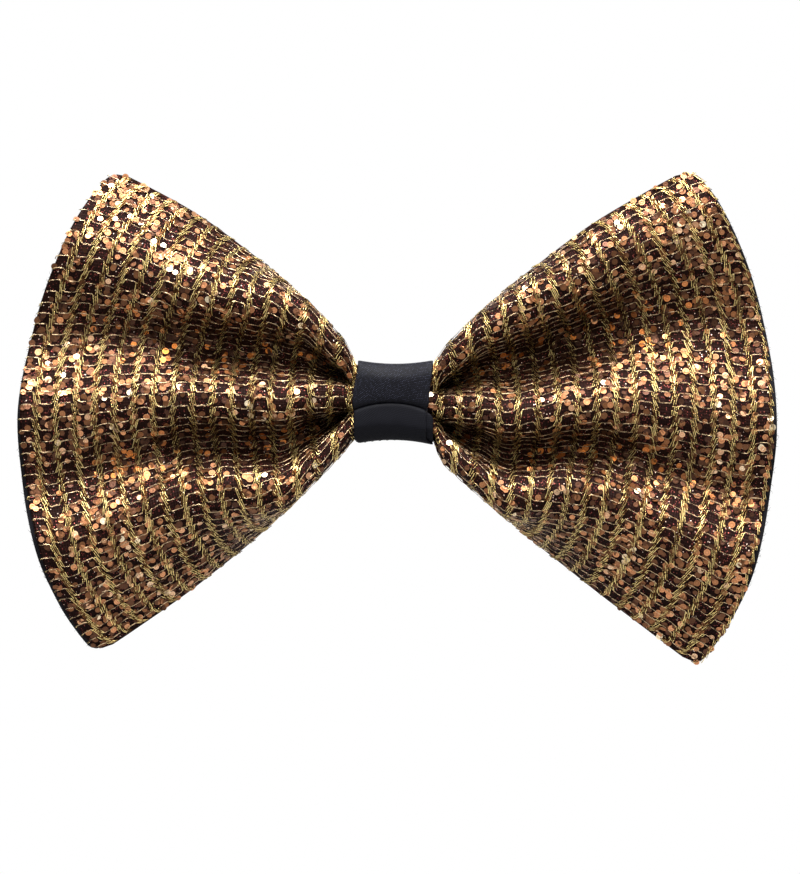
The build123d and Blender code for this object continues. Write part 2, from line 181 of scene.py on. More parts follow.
# what follows from these
BAND_T = 2 * BAND_PLY
WAIST_HEIGHT = BAND_HEIGHT - 2 * (BAND_T + BAND_CLEAR + THREAD_D + THREAD_GAP)
WAIST_HALF = BAND_WIDTH / 2 - 0.6
FLARE_START = BAND_WIDTH / 2 + 1.2
BAND_BACK = -JAW_SLOT / 2
ARM_BACK = BAND_BACK - BAND_T - BAND_CLEAR
ARM_FRONT = ARM_BACK - CLIP_T
LINING_FRONT = ARM_FRONT - LINING_T
COIL_R = PIN_R + COIL_PLAY + COIL_WIRE / 2

# ---------------------------------------------------------------- the camera's view, m
VIEW_HEIGHT = 0.162
AIM_X = 0.0010
AIM_Z = -0.0061


# ---------------------------------------------------------------- settings
def length(name, description, default, low=0.0, high=1.0):
    """A size in metres."""
    return FloatProperty(
        name=name, description=description, default=default, min=low, max=high,
        unit="LENGTH", precision=5,
    )


def share(name, description, default):
    """A share from 0 to 1."""
    return FloatProperty(
        name=name, description=description, default=default, min=0.0, max=1.0, subtype="FACTOR"
    )


def whole(name, description, default, low, high):
    """A count."""
    return IntProperty(name=name, description=description, default=default, min=low, max=high)


def power(name, description, default):
    """A lamp's power in watts."""
    return FloatProperty(name=name, description=description, default=default, unit="POWER")


def colour(name, description, default):
    """A colour, given as sRGB from 0 to 255 and kept as Blender keeps it."""
    return FloatVectorProperty(
        name=name, description=description, default=linear(default), size=3,
        min=0.0, max=1.0, subtype="COLOR",
    )


def linear(rgb):
    """sRGB from 0 to 255 as linear light from 0 to 1."""
    values = [c / 255 for c in rgb]
    return tuple(c / 12.92 if c <= 0.04045 else ((c + 0.055) / 1.055) ** 2.4 for c in values)


class GlitterClothSettings(PropertyGroup):
    ground: colour("Ground", "Colour of the cloth under the glitter", (30, 13, 9))
    spark: colour("Sparks", "Colour of the fine sparks woven in the ground", (168, 84, 76))
    glint: colour("Glints", "Colour of the brightest sparks", (255, 226, 205))
    # painted shade: the colour the ground takes down between the folds
    valley: colour("Valleys", "Colour of the ground down between the folds", (34, 15, 6))
    net_pitch: length("Net pitch", "Spacing of the ground's fine net", 0.00048, 0.0002, 0.002)
    spark_share: share("Spark share", "Share of the net's cells that sparkle", 0.34)
    pucker: length("Pucker", "Height of the small gathers beside the knot", 0.00034, 0.0, 0.002)


class GoldThreadSettings(PropertyGroup):
    row_spacing: length("Row spacing", "Between two neighbouring threads", 0.00195, 0.001, 0.01)
    column: length("Column", "From one cluster of threads to the next", 0.00360, 0.001, 0.01)
    cluster: length(
        "Cluster width", "Over which a thread steps to other rows", 0.00125, 0.0005, 0.005
    )
    step_rows: FloatProperty(
        name="Step", description="How many rows a thread steps to either side", default=1.0,
        min=0.0, max=4.0,
    )
    diameter: length("Diameter", "Width of one strand of a thread", 0.00016, 0.0001, 0.001)
    strands: length("Strands apart", "Between the two strands of a thread", 0.00034, 0.0001, 0.001)
    # bright gold is the painted highlight of the foil's streaks, deep gold their painted shade
    bright: colour("Bright gold", "Lit side of the thread's foil", (255, 228, 152))
    deep: colour("Deep gold", "Folded side of the thread's foil", (206, 132, 62))
    # painted shade: the threads' colour down between the folds
    hollow: colour("Hollow gold", "Thread down in the valleys", (66, 36, 12))
    rung: colour("Pale gold", "Thread where it lies flat between clusters", (240, 208, 164))


class FlakeSettings(PropertyGroup):
    count: whole("Flakes on a wing", "How many glitter flakes each wing has", 2500, 100, 6000)
    radius: length("Radius", "Radius of a flake", 0.00057, 0.0001, 0.002)
    thickness: length("Thickness", "Thickness of a flake", 0.00006, 0.00001, 0.0005)
    dark: colour("Smoky flakes", "Darkest flakes", (66, 43, 35))
    brown: colour("Brown flakes", "Brown flakes", (130, 86, 56))
    copper: colour("Copper flakes", "Copper flakes", (214, 148, 102))
    pale: colour("Pale flakes", "Brightest flakes", (255, 236, 200))
    # painted glow: light bounced between the folds, for the paler flakes down in them
    painted_bounce_glow: colour("Amber flakes", "Flakes down in the valleys", (226, 128, 38))


class BackingSettings(PropertyGroup):
    black: colour("Backing", "Colour of the backing cloth", (25, 24, 30))
    reveal: length("Reveal", "Backing that shows past the glitter cloth", 0.0008, 0.0, 0.004)
    yarn: length("Yarn", "Spacing of the backing's yarns", 0.00042, 0.0001, 0.002)
    fuzz: whole("Fibres", "Loose fibres along the cut edge", 260, 0, 2000)


class KnotSettings(PropertyGroup):
    satin: colour("Satin", "Colour of the satin ribbon", (11, 11, 15))
    sheen: colour("Sheen", "Colour of the satin's sheen", (84, 86, 106))
    twill: length("Twill pitch", "Spacing of the satin's diagonal twill", 0.00040, 0.0001, 0.002)
    tuck: length("Tuck", "Depth of the fold across the front", 0.0007, 0.0, 0.002)


class ClipSettings(PropertyGroup):
    steel: colour("Steel", "Colour of the clip's plated steel", (172, 172, 176))
    wire: colour("Spring wire", "Colour of the spring", (150, 150, 156))
    grosgrain: colour("Grosgrain", "Colour of the ribbon that lines the jaw", (22, 21, 25))
    rib: length("Rib pitch", "Spacing of the grosgrain's ribs", 0.0007, 0.0002, 0.003)


class StageSettings(PropertyGroup):
    paper: colour("Paper", "Colour of the floor", (240, 240, 240))
    dim_paper: colour("Paper's bounce", "Colour that the floor sends back up", (150, 150, 150))
    ambient: share("Ambient", "Strength of the room's own light", 0.2)
    mirrored: share("Mirrored room", "How much of the pale room metal shows", 0.14)
    key: power("Key lamp", "Power of the top lamp", 10.0)
    front: power("Front lamp", "Power of the front lamp", 0.9)
    drop: length("Floor drop", "How far the floor lies under the bow", 0.112, 0.01, 0.5)
    distance: length("Camera distance", "From the camera to the bow", 0.95, 0.2, 5.0)


SETTINGS = {
    "bow_glitter": GlitterClothSettings,
    "bow_gold": GoldThreadSettings,
    "bow_flakes": FlakeSettings,
    "bow_backing": BackingSettings,
    "bow_knot": KnotSettings,
    "bow_clip": ClipSettings,
    "bow_stage": StageSettings,
}


# ---------------------------------------------------------------- shader maths
class Wire:
    """An output socket. Sums written on it add Math nodes."""

    def __init__(self, finish, socket):
        self.finish = finish
        self.socket = socket

    def __add__(self, other):
        return self.finish.maths("ADD", self, other)

    def __radd__(self, other):
        return self.finish.maths("ADD", other, self)

    def __sub__(self, other):
        return self.finish.maths("SUBTRACT", self, other)

    def __rsub__(self, other):
        return self.finish.maths("SUBTRACT", other, self)

    def __mul__(self, other):
        return self.finish.maths("MULTIPLY", self, other)

    def __rmul__(self, other):
        return self.finish.maths("MULTIPLY", other, self)

    def __truediv__(self, other):
        return self.finish.maths("DIVIDE", self, other)

    def __rtruediv__(self, other):
        return self.finish.maths("DIVIDE", other, self)

    def __gt__(self, other):
        return self.finish.maths("GREATER_THAN", self, other)

    def __lt__(self, other):
        return self.finish.maths("LESS_THAN", self, other)


class Finish:
    """A material, or the world, whose nodes are being laid out."""

    def __init__(self, owner):
        owner.use_nodes = True
        self.owner = owner
        self.tree = owner.node_tree

    def node(self, kind, settings=None, sockets=None, output=0):
        """Adds a node of this type, with its settings and the values or wires of its sockets."""
        made = self.tree.nodes.new("ShaderNode" + kind)
        for key, value in (settings or {}).items():
            if key == "stops":
                self.set_stops(made.color_ramp, value)
            else:
                setattr(made, key, value)
        for key, value in (sockets or {}).items():
            self.feed(made.inputs[key], value)
        return Wire(self, made.outputs[output])

    def set_stops(self, ramp, stops):
        """Sets the places and colours of a colour ramp."""
        while len(ramp.elements) < len(stops):
            ramp.elements.new(1.0)
        for element, (place, value) in zip(ramp.elements, stops):
            element.position = place
            element.color = (*value, 1.0) if len(value) == 3 else value

    def feed(self, socket, value):
        """Links a wire to the socket, or sets its value."""
        if isinstance(value, Wire):
            self.tree.links.new(value.socket, socket)
        elif socket.type == "RGBA":
            socket.default_value = (*value[:3], 1.0)
        else:
            socket.default_value = value

    def maths(self, operation, *values, clamp=False):
        """Adds a Math node."""
        sockets = dict(enumerate(values))
        return self.node("Math", dict(operation=operation, use_clamp=clamp), sockets)

    def sine(self, wire):
        """A wave from 0 to 1 that repeats as the wire grows by 1."""
        return self.maths("SINE", wire * (2 * math.pi)) * 0.5 + 0.5

    def clamped(self, wire):
        """The wire, kept from 0 to 1."""
        return self.maths("ADD", wire, 0.0, clamp=True)

    def between(self, wire, low, high):
        """Smooth ramp from 0 at low to 1 at high."""
        settings = dict(interpolation_type="SMOOTHSTEP")
        return self.node("MapRange", settings, {0: wire, 1: low, 2: high})

    def blend(self, factor, a, b):
        """Colour a turning into b."""
        return self.node("Mix", dict(data_type="RGBA"), {0: factor, 6: a, 7: b}, output=2)

    def value_of(self, name):
        """A value kept at the mesh's points."""
        return self.node("Attribute", dict(attribute_name=name), output=2)

    def place_of(self, name):
        """A point kept in the mesh, as a vector wire and its three parts."""
        vector = self.node("Attribute", dict(attribute_name=name), output=1)
        split = self.node("SeparateXYZ", sockets={0: vector}).socket.node.outputs
        return vector, [Wire(self, out) for out in split]

    def rays(self, *kinds):
        """1 for rays of each of these kinds, otherwise 0."""
        outputs = self.node("LightPath").socket.node.outputs
        return [Wire(self, outputs[f"Is {kind} Ray"]) for kind in kinds]

    def noise(self, vector, scale, detail=2.0, rough=0.5):
        """Cloudy noise from 0 to 1."""
        sockets = {"Vector": vector, "Scale": scale, "Detail": detail, "Roughness": rough}
        return self.node("TexNoise", sockets=sockets)

    def bump(self, height, strength, distance):
        """A normal that shows this height as relief; the distance is in metres."""
        sockets = {"Height": height, "Strength": strength, "Distance": distance}
        return self.node("Bump", sockets=sockets)

    def surface(self, **sockets):
        """Sets the surface shader's sockets, named with _ for their spaces, and gives back the
        material."""
        shader = self.tree.nodes["Principled BSDF"]
        for key, value in sockets.items():
            self.feed(shader.inputs[key.replace("_", " ")], value)
        return self.owner


def new_finish(name):
    """A new material, ready for its nodes."""
    return Finish(bpy.data.materials.new(name))


def shade(tone, factor):
    """A colour, made darker or lighter."""
    return [c * factor for c in tone]


# ---------------------------------------------------------------- the folds of the cloth
def ease(v):
    """Smooth ramp from 0 to 1."""
    v = np.clip(v, 0.0, 1.0)
    return v * v * (3 - 2 * v)


def mix(a, b, v):
    """a turning into b."""
    return a + (b - a) * v


def unit(v):
    """Vectors made one long."""
    return v / np.linalg.norm(v, axis=-1, keepdims=True)


def run_along(line):
    """How far along a line of points each of them is."""
    return np.concatenate([[0], np.cumsum(np.linalg.norm(np.diff(line, axis=0), axis=1))])


def round_angles(sides):
    """The angles of a regular polygon's corners."""
    return np.arange(sides) / sides * 2 * math.pi


def edge_height(outline, corner, x):
    """Height of the wing's top or bottom outline at a distance x from the middle."""
    c = outline[corner]
    v = (x - BAND_WIDTH / 2) / (c["x"] - BAND_WIDTH / 2)
    if v > 1:
        v = 1 + PAST_CORNER * math.tanh((v - 1) / PAST_CORNER)
    rise = (1 - math.exp(-c["bow"] * max(v, 0))) / (1 - math.exp(-c["bow"]))
    wing_z = mix(c["start"], c["z"], rise)
    waist_z = BAND_Z + math.copysign(WAIST_HEIGHT / 2, c["z"])
    near = ease((x - WAIST_HALF) / (FLARE_START - WAIST_HALF))
    return mix(waist_z, wing_z, near)


def pleats(outline, x, across):
    """Where a row of the cloth lies in the pleats at x: turns from the middle ridge, and the
    pleat's length there. Past the knot the pleats settle to their own lengths."""
    settled = ease((x - WAIST_HALF) / SETTLE_LENGTH)
    along = across - mix(PLEAT_SHIFT, SETTLED_SHIFT, settled)
    lower, upper = outline["pitches"]
    pitch = mix(PLEAT_PITCH, np.where(along > 0, upper, lower), settled)
    return along / pitch, pitch


def fold_curve(outline, x, swing, scale):
    """Middle line of the folded cloth at x, for one swing of its slopes."""
    turn = math.radians(mix(WAIST_TURN, CORNER_TURN, ease((x - WAIST_HALF) / FLARE_LENGTH)))
    crisp = mix(WAIST_CRISP, WING_CRISP, ease((x - WAIST_HALF) / CRISP_LENGTH))
    lean = RIDGE_LEAN * ease((x - WAIST_HALF) / LEAN_LENGTH)
    gather = (1 - WAIST_GATHER * (1 - ease((x - WAIST_HALF) / GATHER_LENGTH))) * scale
    step = FABRIC_HEIGHT * gather / STEPS
    across = (np.arange(STEPS) + 0.5 - STEPS / 2) * FABRIC_HEIGHT / STEPS
    turns, pitch = pleats(outline, x, across)
    angle = swing * np.tanh(crisp * np.sin(2 * math.pi * turns)) / math.tanh(crisp)
    beyond = (np.abs(turns) - 1) * pitch
    bend = turn * np.sin(math.pi / 2 * np.clip(beyond / TURN_LENGTH, 0, 1))
    angle = np.where(beyond > 0, np.sign(turns) * bend, angle)
    y = np.concatenate([[0], np.cumsum(np.sin(angle) * step)])
    z = np.concatenate([[0], np.cumsum(np.cos(angle) * step)])
    y -= y.mean()
    return y, z - lean * y


def fold_section(outline, x):
    """The folded cloth's middle line at x, as tall as the wing's outline there."""
    bottom = edge_height(outline, "bottom", x) + STACK_T / 2
    height = edge_height(outline, "top", x) - STACK_T / 2 - bottom
    least = mix(*LEAST_SWING, ease((x - LEAST_FROM) / LEAST_LENGTH))
    scale = max(1.0, height / np.ptp(fold_curve(outline, x, least, 1.0)[1]))
    low, high = least, MOST_SWING
    for _ in range(24):
        swing = (low + high) / 2
        if np.ptp(fold_curve(outline, x, swing, scale)[1]) > height:
            low = swing
        else:
            high = swing
    y, z = fold_curve(outline, x, (low + high) / 2, scale)
    z = z + bottom - z.min()
    in_knot = max(0.0, y.max() - PANEL_BACK)
    by_clip = max(0.0, y[np.abs(z) < CLIP_ROOM].max() - PANEL_BACK)
    forward = mix(in_knot, by_clip, ease((x - FLARE_START) / CLIP_ROOM_LENGTH))
    return np.stack([y - forward, z], -1)


class Wing:
    """One wing of the folded cloth. A place on it is along, in mm from the knot's middle,
    and across, in mm up from the middle of the cut cloth."""

    def __init__(self, outline):
        """Folds one section for each mm from the middle."""
        self.outline = outline
        self.side = outline["side"]
        self.reach = outline["reach"]
        self.line = np.array([fold_section(outline, x) for x in range(int(self.reach) + 8)])
        slope = np.gradient(self.line, axis=1)
        size = np.hypot(slope[..., 0], slope[..., 1])
        self.normal = np.stack([-slope[..., 1], slope[..., 0]], -1) / size[..., None]

    def outer(self, across):
        """How far out a row of the cloth ends."""
        u = across / (FABRIC_HEIGHT / 2)
        top, bottom = self.outline["top"], self.outline["bottom"]
        drop = np.where(u > 0, top["drop"], bottom["drop"])
        fullness = np.where(u > 0, top["fullness"], bottom["fullness"])
        end = self.reach - drop * np.abs(u) ** fullness
        corner = 2 * CORNER_R / FABRIC_HEIGHT
        v = np.clip((np.abs(u) - (1 - corner)) / corner, 0, 1)
        return end - CORNER_R * (1 - np.sqrt(np.maximum(1 - v * v, 0)))

    def read(self, table, x, across):
        """A value of the table between its whole millimetres and steps."""
        i = np.clip((across / FABRIC_HEIGHT + 0.5) * STEPS, 0, STEPS - 1e-6)
        x = np.clip(x, 0, len(table) - 1.001)
        a, b = x.astype(int), i.astype(int)
        u, v = (x - a)[..., None], (i - b)[..., None]
        low = mix(table[a, b], table[a, b + 1], v)
        high = mix(table[a + 1, b], table[a + 1, b + 1], v)
        return mix(low, high, u)

    def place(self, along, across, lift):
        """Points off the cloth's middle line, in mm; lift is towards the front."""
        along, across, lift = np.broadcast_arrays(along, across, lift)
        x = along / self.reach * self.outer(across)
        lift = lift + pucker(x, across)
        yz = self.read(self.line, x, across) + self.read(self.normal, x, across) * lift[..., None]
        return np.stack([self.side * x, PANEL_Y + yz[..., 0], yz[..., 1]], -1)

    def hollow(self, along, across):
        """Painted shade for a place, by how far down between two ridges it lies: 0 on a ridge, 1
        down in a valley, less towards the wings' ends.
        """
        x = along / self.reach * self.outer(across)
        turns, _ = pleats(self.outline, x, across)
        deep = np.where(np.abs(turns) < 1, 0.5 - 0.5 * np.cos(2 * math.pi * turns), 0.0)
        return deep * (1 - FOLD_SHADE_FADE * ease((x - FOLD_SHADE_FADE_FROM) / FOLD_SHADE_FADE_LENGTH))

    def axes(self, along, across, lift):
        """Unit vectors along, across and out of the cloth there."""
        small = 0.4
        here = self.place(along - small, across, lift)
        ahead = unit(self.place(along + small, across, lift) - here)
        up = self.place(along, across + small, lift) - self.place(along, across - small, lift)
        out = unit(np.cross(ahead, up) * self.side)
        return ahead, np.cross(out, ahead), out


def pucker(x, across):
    """Small gathers beside the knot, and a faint unevenness of the whole cloth."""
    near = np.exp(-np.maximum(x - WAIST_HALF, 0) / 9.0)
    height = bpy.context.scene.bow_glitter.pucker / MM
    gathers = np.sin(across * 1.55 + 1.1 * np.sin(across * 0.41) + x * 0.05)
    uneven = np.sin(x * 0.33 + 1.4 * np.sin(across * 0.19) + 0.6) * np.sin(across * 0.27 + x * 0.07)
    return height * gathers * near * ease((x - 4) / 4) + 0.16 * uneven * ease((x - 12) / 14)


WAIST = fold_section(LEFT_OUTLINE, 0)
WAIST_FRONT = WAIST[:, 0].min() - STACK_T / 2
WAIST_BACK = WAIST[:, 0].max() + STACK_T / 2
PANEL_Y = LINING_FRONT - BAND_CLEAR - THREAD_D - THREAD_GAP - WAIST_BACK
BAND_FRONT = PANEL_Y + WAIST_FRONT - THREAD_GAP - THREAD_D - BAND_CLEAR - BAND_T
FRONT_LIFT = STACK_T / 2
BACKING_LIFT = FRONT_LIFT - GLITTER_T - PLY_GAP
LEFT = Wing(LEFT_OUTLINE)
RIGHT = Wing(RIGHT_OUTLINE)


# ---------------------------------------------------------------- meshes
def quads(rows, columns, closed=False):
    """Faces of a grid of points that is numbered row by row."""
    across = columns if closed else columns - 1
    r, c = np.meshgrid(np.arange(rows - 1), np.arange(across), indexing="ij")
    a = r * columns + c
    b = r * columns + (c + 1) % columns
    return np.stack([a, b, b + columns, a + columns], -1).reshape(-1, 4)


def new_piece(name, points, faces, material, values=None, places=None, flat=False):
    """A mesh object from points in mm, with values and places kept at its points."""
    mesh = bpy.data.meshes.new(name)
    mesh.from_pydata((np.asarray(points) * MM).tolist(), [], [list(map(int, f)) for f in faces])
    for key, data in (values or {}).items():
        kept = mesh.attributes.new(key, "FLOAT", "POINT")
        kept.data.foreach_set("value", np.asarray(data, np.float32).ravel())
    for key, data in (places or {}).items():
        kept = mesh.attributes.new(key, "FLOAT_VECTOR", "POINT")
        kept.data.foreach_set("vector", np.asarray(data, np.float32).ravel())
    work = bmesh.new()
    work.from_mesh(mesh)
    bmesh.ops.recalc_face_normals(work, faces=work.faces)
    work.to_mesh(mesh)
    work.free()
    mesh.polygons.foreach_set("use_smooth", [not flat] * len(mesh.polygons))
    mesh.materials.append(material)
    piece = bpy.data.objects.new(name, mesh)
    bpy.context.scene.collection.objects.link(piece)
    return piece


def settle(piece, body, slot, *nodes):
    """Rides the piece on its body and hides the CAD nodes it stands for; its slot is not used."""
    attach(piece, body)
    if nodes:
        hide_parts(*nodes)
    return piece


def bake_map(piece, corner_places):
    """Lays out the piece's own texture map, from one place for each face corner."""
    layer = piece.data.uv_layers.new(name="OFBake")
    layer.uv.foreach_set("vector", np.asarray(corner_places, np.float32).ravel())


def slab(front, back):
    """Closes two grids of points into a sheet with thickness: points and faces."""
    rows, columns = front.shape[:2]
    points = np.concatenate([front.reshape(-1, 3), back.reshape(-1, 3)])
    face = quads(rows, columns)
    count = rows * columns
    index = np.arange(count).reshape(rows, columns)
    loop = np.concatenate([index[0], index[1:, -1], index[-1, -2::-1], index[-2:0:-1, 0]])
    after = np.roll(loop, -1)
    rim = np.stack([loop, after, after + count, loop + count], -1)
    return points, np.concatenate([face, face[:, ::-1] + count, rim])


def tube(line, radii, sides=6, flatness=1.0, twist=0.0):
    """A closed tube along a line of points: points, faces, and how far along each point is.
    twist is the length of one full turn of a flattened section, in mm."""
    line = np.asarray(line, float)
    run = run_along(line)
    ahead = unit(np.gradient(line, axis=0))
    side = unit(np.cross(ahead, (0.0, 1.0, 0.05)))
    up = np.cross(side, ahead)
    roll = 2 * math.pi * run / twist if twist else np.zeros(len(line))
    angle = round_angles(sides)
    a = np.cos(angle)[None, :] * radii[:, None]
    b = np.sin(angle)[None, :] * radii[:, None] * flatness
    c, s = np.cos(roll)[:, None], np.sin(roll)[:, None]
    u, v = a * c - b * s, a * s + b * c
    ring = line[:, None, :] + u[..., None] * side[:, None, :] + v[..., None] * up[:, None, :]
    points = ring.reshape(-1, 3)
    faces = [list(q) for q in quads(len(line), sides, closed=True)]
    last = (len(line) - 1) * sides
    faces += [list(range(sides))[::-1], list(range(last, last + sides))]
    return points, faces, np.repeat(run, sides)


def joined(parts):
    """Several (points, faces, ...) as one list of points, one of faces, and joined values."""
    points, faces, extras, start = [], [], [], 0
    for part in parts:
        points.append(part[0])
        faces += [[i + start for i in f] for f in part[1]]
        extras.append(part[2:])
        start += len(part[0])
    return np.concatenate(points), faces, [np.concatenate(e) for e in zip(*extras)]


# ---------------------------------------------------------------- finishes
def glitter_ground():
    """Dark net cloth with fine pink sparks, and painted shade down between the folds."""
    s = bpy.context.scene.bow_glitter
    f = new_finish("glitter_ground")
    cloth, (along, across, _) = f.place_of("cloth")
    pitch = s.net_pitch / MM
    net = f.sine(along / pitch) * 0.6 + f.sine(across / pitch) * 0.4
    cells = f.node("TexVoronoi", sockets={"Vector": cloth, "Scale": 3.4})
    spots = cells.socket.node.outputs
    chance = f.node("SeparateColor", sockets={0: Wire(f, spots["Color"])})
    hue = Wire(f, chance.socket.node.outputs[1])
    spark = (chance > 1 - s.spark_share) * (Wire(f, spots["Distance"]) < 0.34)
    glint = f.blend(hue, shade(s.spark, 0.3), s.spark)
    glint = f.blend(hue > 0.86, glint, s.glint)
    patches = f.noise(cloth, 0.5, 4.0, 0.7)
    ground = f.blend(f.between(patches, 0.35, 0.7), s.ground, shade(s.ground, 1.9))
    shaded = f.blend(net * 0.6, ground, shade(s.ground, 0.35))
    # painted shade: down between the folds the ground turns to its dark valley colour
    shaded = f.blend(f.value_of("hollow") * 0.8, shaded, s.valley)
    return f.surface(
        Base_Color=f.blend(spark, shaded, glint),
        Metallic=spark * 0.35,
        Roughness=0.62 - 0.3 * spark,
        Specular_IOR_Level=0.06,
        Normal=f.bump(net, 0.8, 0.00012),
    )


def gold_foil():
    """Flat metallised thread: painted highlight streaks of bright gold and painted shade of darker
    gold alternate along each strand, paler on the flat runs; down between the folds it takes
    painted shade.
    """
    s = bpy.context.scene.bow_gold
    f = new_finish("gold_foil")
    length_along, climb = f.value_of("thread_length"), f.value_of("climb")
    lie = f.node("CombineXYZ", sockets={0: length_along, 1: f.value_of("thread_number") * 7.3})
    # painted highlight and painted shade: noise along each strand turns it from darker gold to
    # bright gold streaks, with longer darkened stretches, in place of glints
    turn = f.between(f.noise(lie, 0.9, 3.0, 0.65), 0.42, 0.52)
    painted_shade_stretch = f.between(f.noise(lie, 0.22, 3.0, 0.6), 0.46, 0.62)
    foil = f.blend(turn, shade(s.deep, 0.18), s.bright)
    foil = f.blend(painted_shade_stretch * 0.75, foil, shade(s.deep, 0.25))
    pale = f.blend(turn, shade(s.rung, 0.1), s.rung)
    pale = f.blend(painted_shade_stretch * 0.6, pale, shade(s.rung, 0.08))
    tone = f.blend(climb, pale, foil)
    # painted shade down between the folds, a little weaker on the bright streaks
    shaded = f.value_of("hollow") * (0.92 - 0.4 * turn)
    return f.surface(
        Base_Color=f.blend(shaded, tone, s.hollow),
        Metallic=0.9,
        Roughness=0.2 + 0.1 * turn,
        Normal=f.bump(turn, 0.8, 0.00012),
    )


def flake_foil():
    """Glitter flakes: each has its own tint, with a paler rim and a dimple; down between the folds
    they take painted shade, the paler ones a painted orange glow.
    """
    s = bpy.context.scene.bow_flakes
    f = new_finish("flake_foil")
    tint, radial = f.value_of("tint"), f.value_of("radial")
    mid = [(a + b) / 2 for a, b in zip(s.copper, s.pale)]
    stops = [(0.0, s.dark), (0.3, s.brown), (0.62, s.copper), (0.9, mid), (1.0, s.pale)]
    body = f.node("ValToRGB", dict(stops=[(p, tuple(c)) for p, c in stops]), {0: tint})
    # painted light down between the folds: darker flakes take painted shade, paler ones the painted
    # orange glow
    glow = f.between(tint, 0.25, 0.7)
    deep = f.blend(glow, shade(s.dark, 0.5), s.painted_bounce_glow)
    body = f.blend(f.value_of("hollow") * 0.85, body, deep)
    dimple = f.between(radial, 0.15, 0.5) * (1 - f.between(radial, 0.5, 0.9))
    return f.surface(
        Base_Color=f.blend(dimple * 0.28, body, shade(s.brown, 0.6)),
        Metallic=0.88,
        Roughness=0.36 + 0.14 * dimple,
        Normal=f.bump(dimple, 0.25, 0.00005),
    )


def woven(name, tone, yarn):
    """Plain woven cloth with visible yarns, paler where it is worn."""
    f = new_finish(name)
    cloth, (along, across, _) = f.place_of("cloth")
    pitch = yarn / MM
    warp, weft = f.sine(along / pitch), f.sine(across / pitch)
    weave = warp * weft + (1 - warp) * (1 - weft)
    worn = f.between(f.noise(cloth, 0.3, 3.0), 0.35, 0.75)
    base = f.blend(worn * 0.6, tone, [min(1.0, c * 1.5 + 0.004) for c in tone])
    return f.surface(
        Base_Color=f.blend(weave * 0.55, shade(tone, 0.5), base),
        Roughness=0.85,
        Specular_IOR_Level=0.2,
        Normal=f.bump(weave, 0.7, 0.0001),
    )


def satin_finish():
    """Navy-black satin ribbon: fine diagonal twill with a painted sheen, faint all over and
    strongest above the crease, and faint pressing marks.
    """
    s = bpy.context.scene.bow_knot
    f = new_finish("knot_satin")
    cloth, (along, across, height) = f.place_of("ribbon")
    pitch = s.twill / MM
    twill = f.sine((along + across) / pitch)
    fine = f.sine((along - across * 0.35) / (pitch * 0.8))
    pressed = f.between(f.noise(cloth, 0.3, 4.0, 0.6), 0.3, 0.75)
    # painted sheen: light twill marks, faint all over and strongest in patches above the crease, on
    # the upper lobe that faces up to the light
    upper = f.between(height, CREASE_Z - 0.4, CREASE_Z + 0.8)
    grains = f.between(f.noise(cloth, 2.2, 2.0), 0.45, 0.62)
    painted_sheen = f.between(twill * fine, 0.35, 0.9) * (0.1 + 0.5 * upper * grains)
    tone = f.blend(pressed * 0.5, s.satin, shade(s.satin, 1.7))
    return f.surface(
        Base_Color=f.blend(painted_sheen, tone, s.sheen),
        Roughness=0.5 + 0.12 * pressed,
        Specular_IOR_Level=0.08,
        Normal=f.bump(twill * 0.7 + fine * 0.3, 0.35, 0.00008),
    )


def grosgrain_finish():
    """Black ribbon with raised ribs across it."""
    s = bpy.context.scene.bow_clip
    f = new_finish("grosgrain_ribs")
    cloth, (along, across, _) = f.place_of("ribbon")
    ribs = f.sine(along / (s.rib / MM))
    yarn = f.sine(across / 0.3)
    worn = f.between(f.noise(cloth, 0.4, 3.0), 0.35, 0.7)
    tone = f.blend(worn * 0.5, s.grosgrain, shade(s.grosgrain, 2))
    return f.surface(
        Base_Color=f.blend(ribs * 0.7, shade(s.grosgrain, 0.35), tone),
        Roughness=0.7,
        Specular_IOR_Level=0.3,
        Normal=f.bump(ribs * 0.8 + yarn * 0.2, 0.5, 0.0001),
    )


def steel_finish(name, tone, brush_scale, rough):
    """Plated steel with brushed streaks and a few darker spots."""
    f = new_finish(name)
    place = f.node("TexCoord", output=3)
    stretched = f.node("Mapping", sockets={"Vector": place, "Scale": (1.0, 14.0, 14.0)})
    streaks = f.noise(stretched, brush_scale, 5.0, 0.65)
    spots = f.between(f.noise(place, 420.0, 3.0), 0.62, 0.74)
    base = f.blend(streaks * 0.7, tone, shade(tone, 0.42))
    return f.surface(
        Base_Color=f.blend(spots * 0.5, base, shade(tone, 0.4)),
        Metallic=1.0,
        Roughness=rough + 0.18 * streaks + 0.15 * spots,
        Normal=f.bump(streaks, 0.12, 0.00005),
    )


def cotton_finish(name, tone):
    """Twisted sewing thread."""
    f = new_finish(name)
    length_along = f.value_of("thread_length")
    turn = f.sine(length_along / 0.35)
    return f.surface(
        Base_Color=f.blend(turn, shade(tone, 0.4), tone),
        Roughness=0.75,
        Specular_IOR_Level=0.25,
        Normal=f.bump(turn, 0.6, 0.00006),
    )


# ---------------------------------------------------------------- pieces
def cloth_grid(lift, reveals, rows, columns):
    """Points of one face of a ply, from the left outer edge to the right one, and where
    each lies on the cut cloth."""
    across = np.linspace(-FABRIC_HEIGHT / 2, FABRIC_HEIGHT / 2, rows)[:, None]
    along = np.linspace(0, 1, columns)[None, :]
    halves = []
    for wing in (LEFT, RIGHT):
        out = along * wing.reach * (1 + reveals(wing, across) / wing.outer(across))
        points = wing.place(out, across, lift)
        halves.append((points, np.stack([wing.side * out, across + 0 * out, 0 * out], -1)))
    return [np.concatenate([left[:, :0:-1], right], 1) for left, right in zip(*halves)]


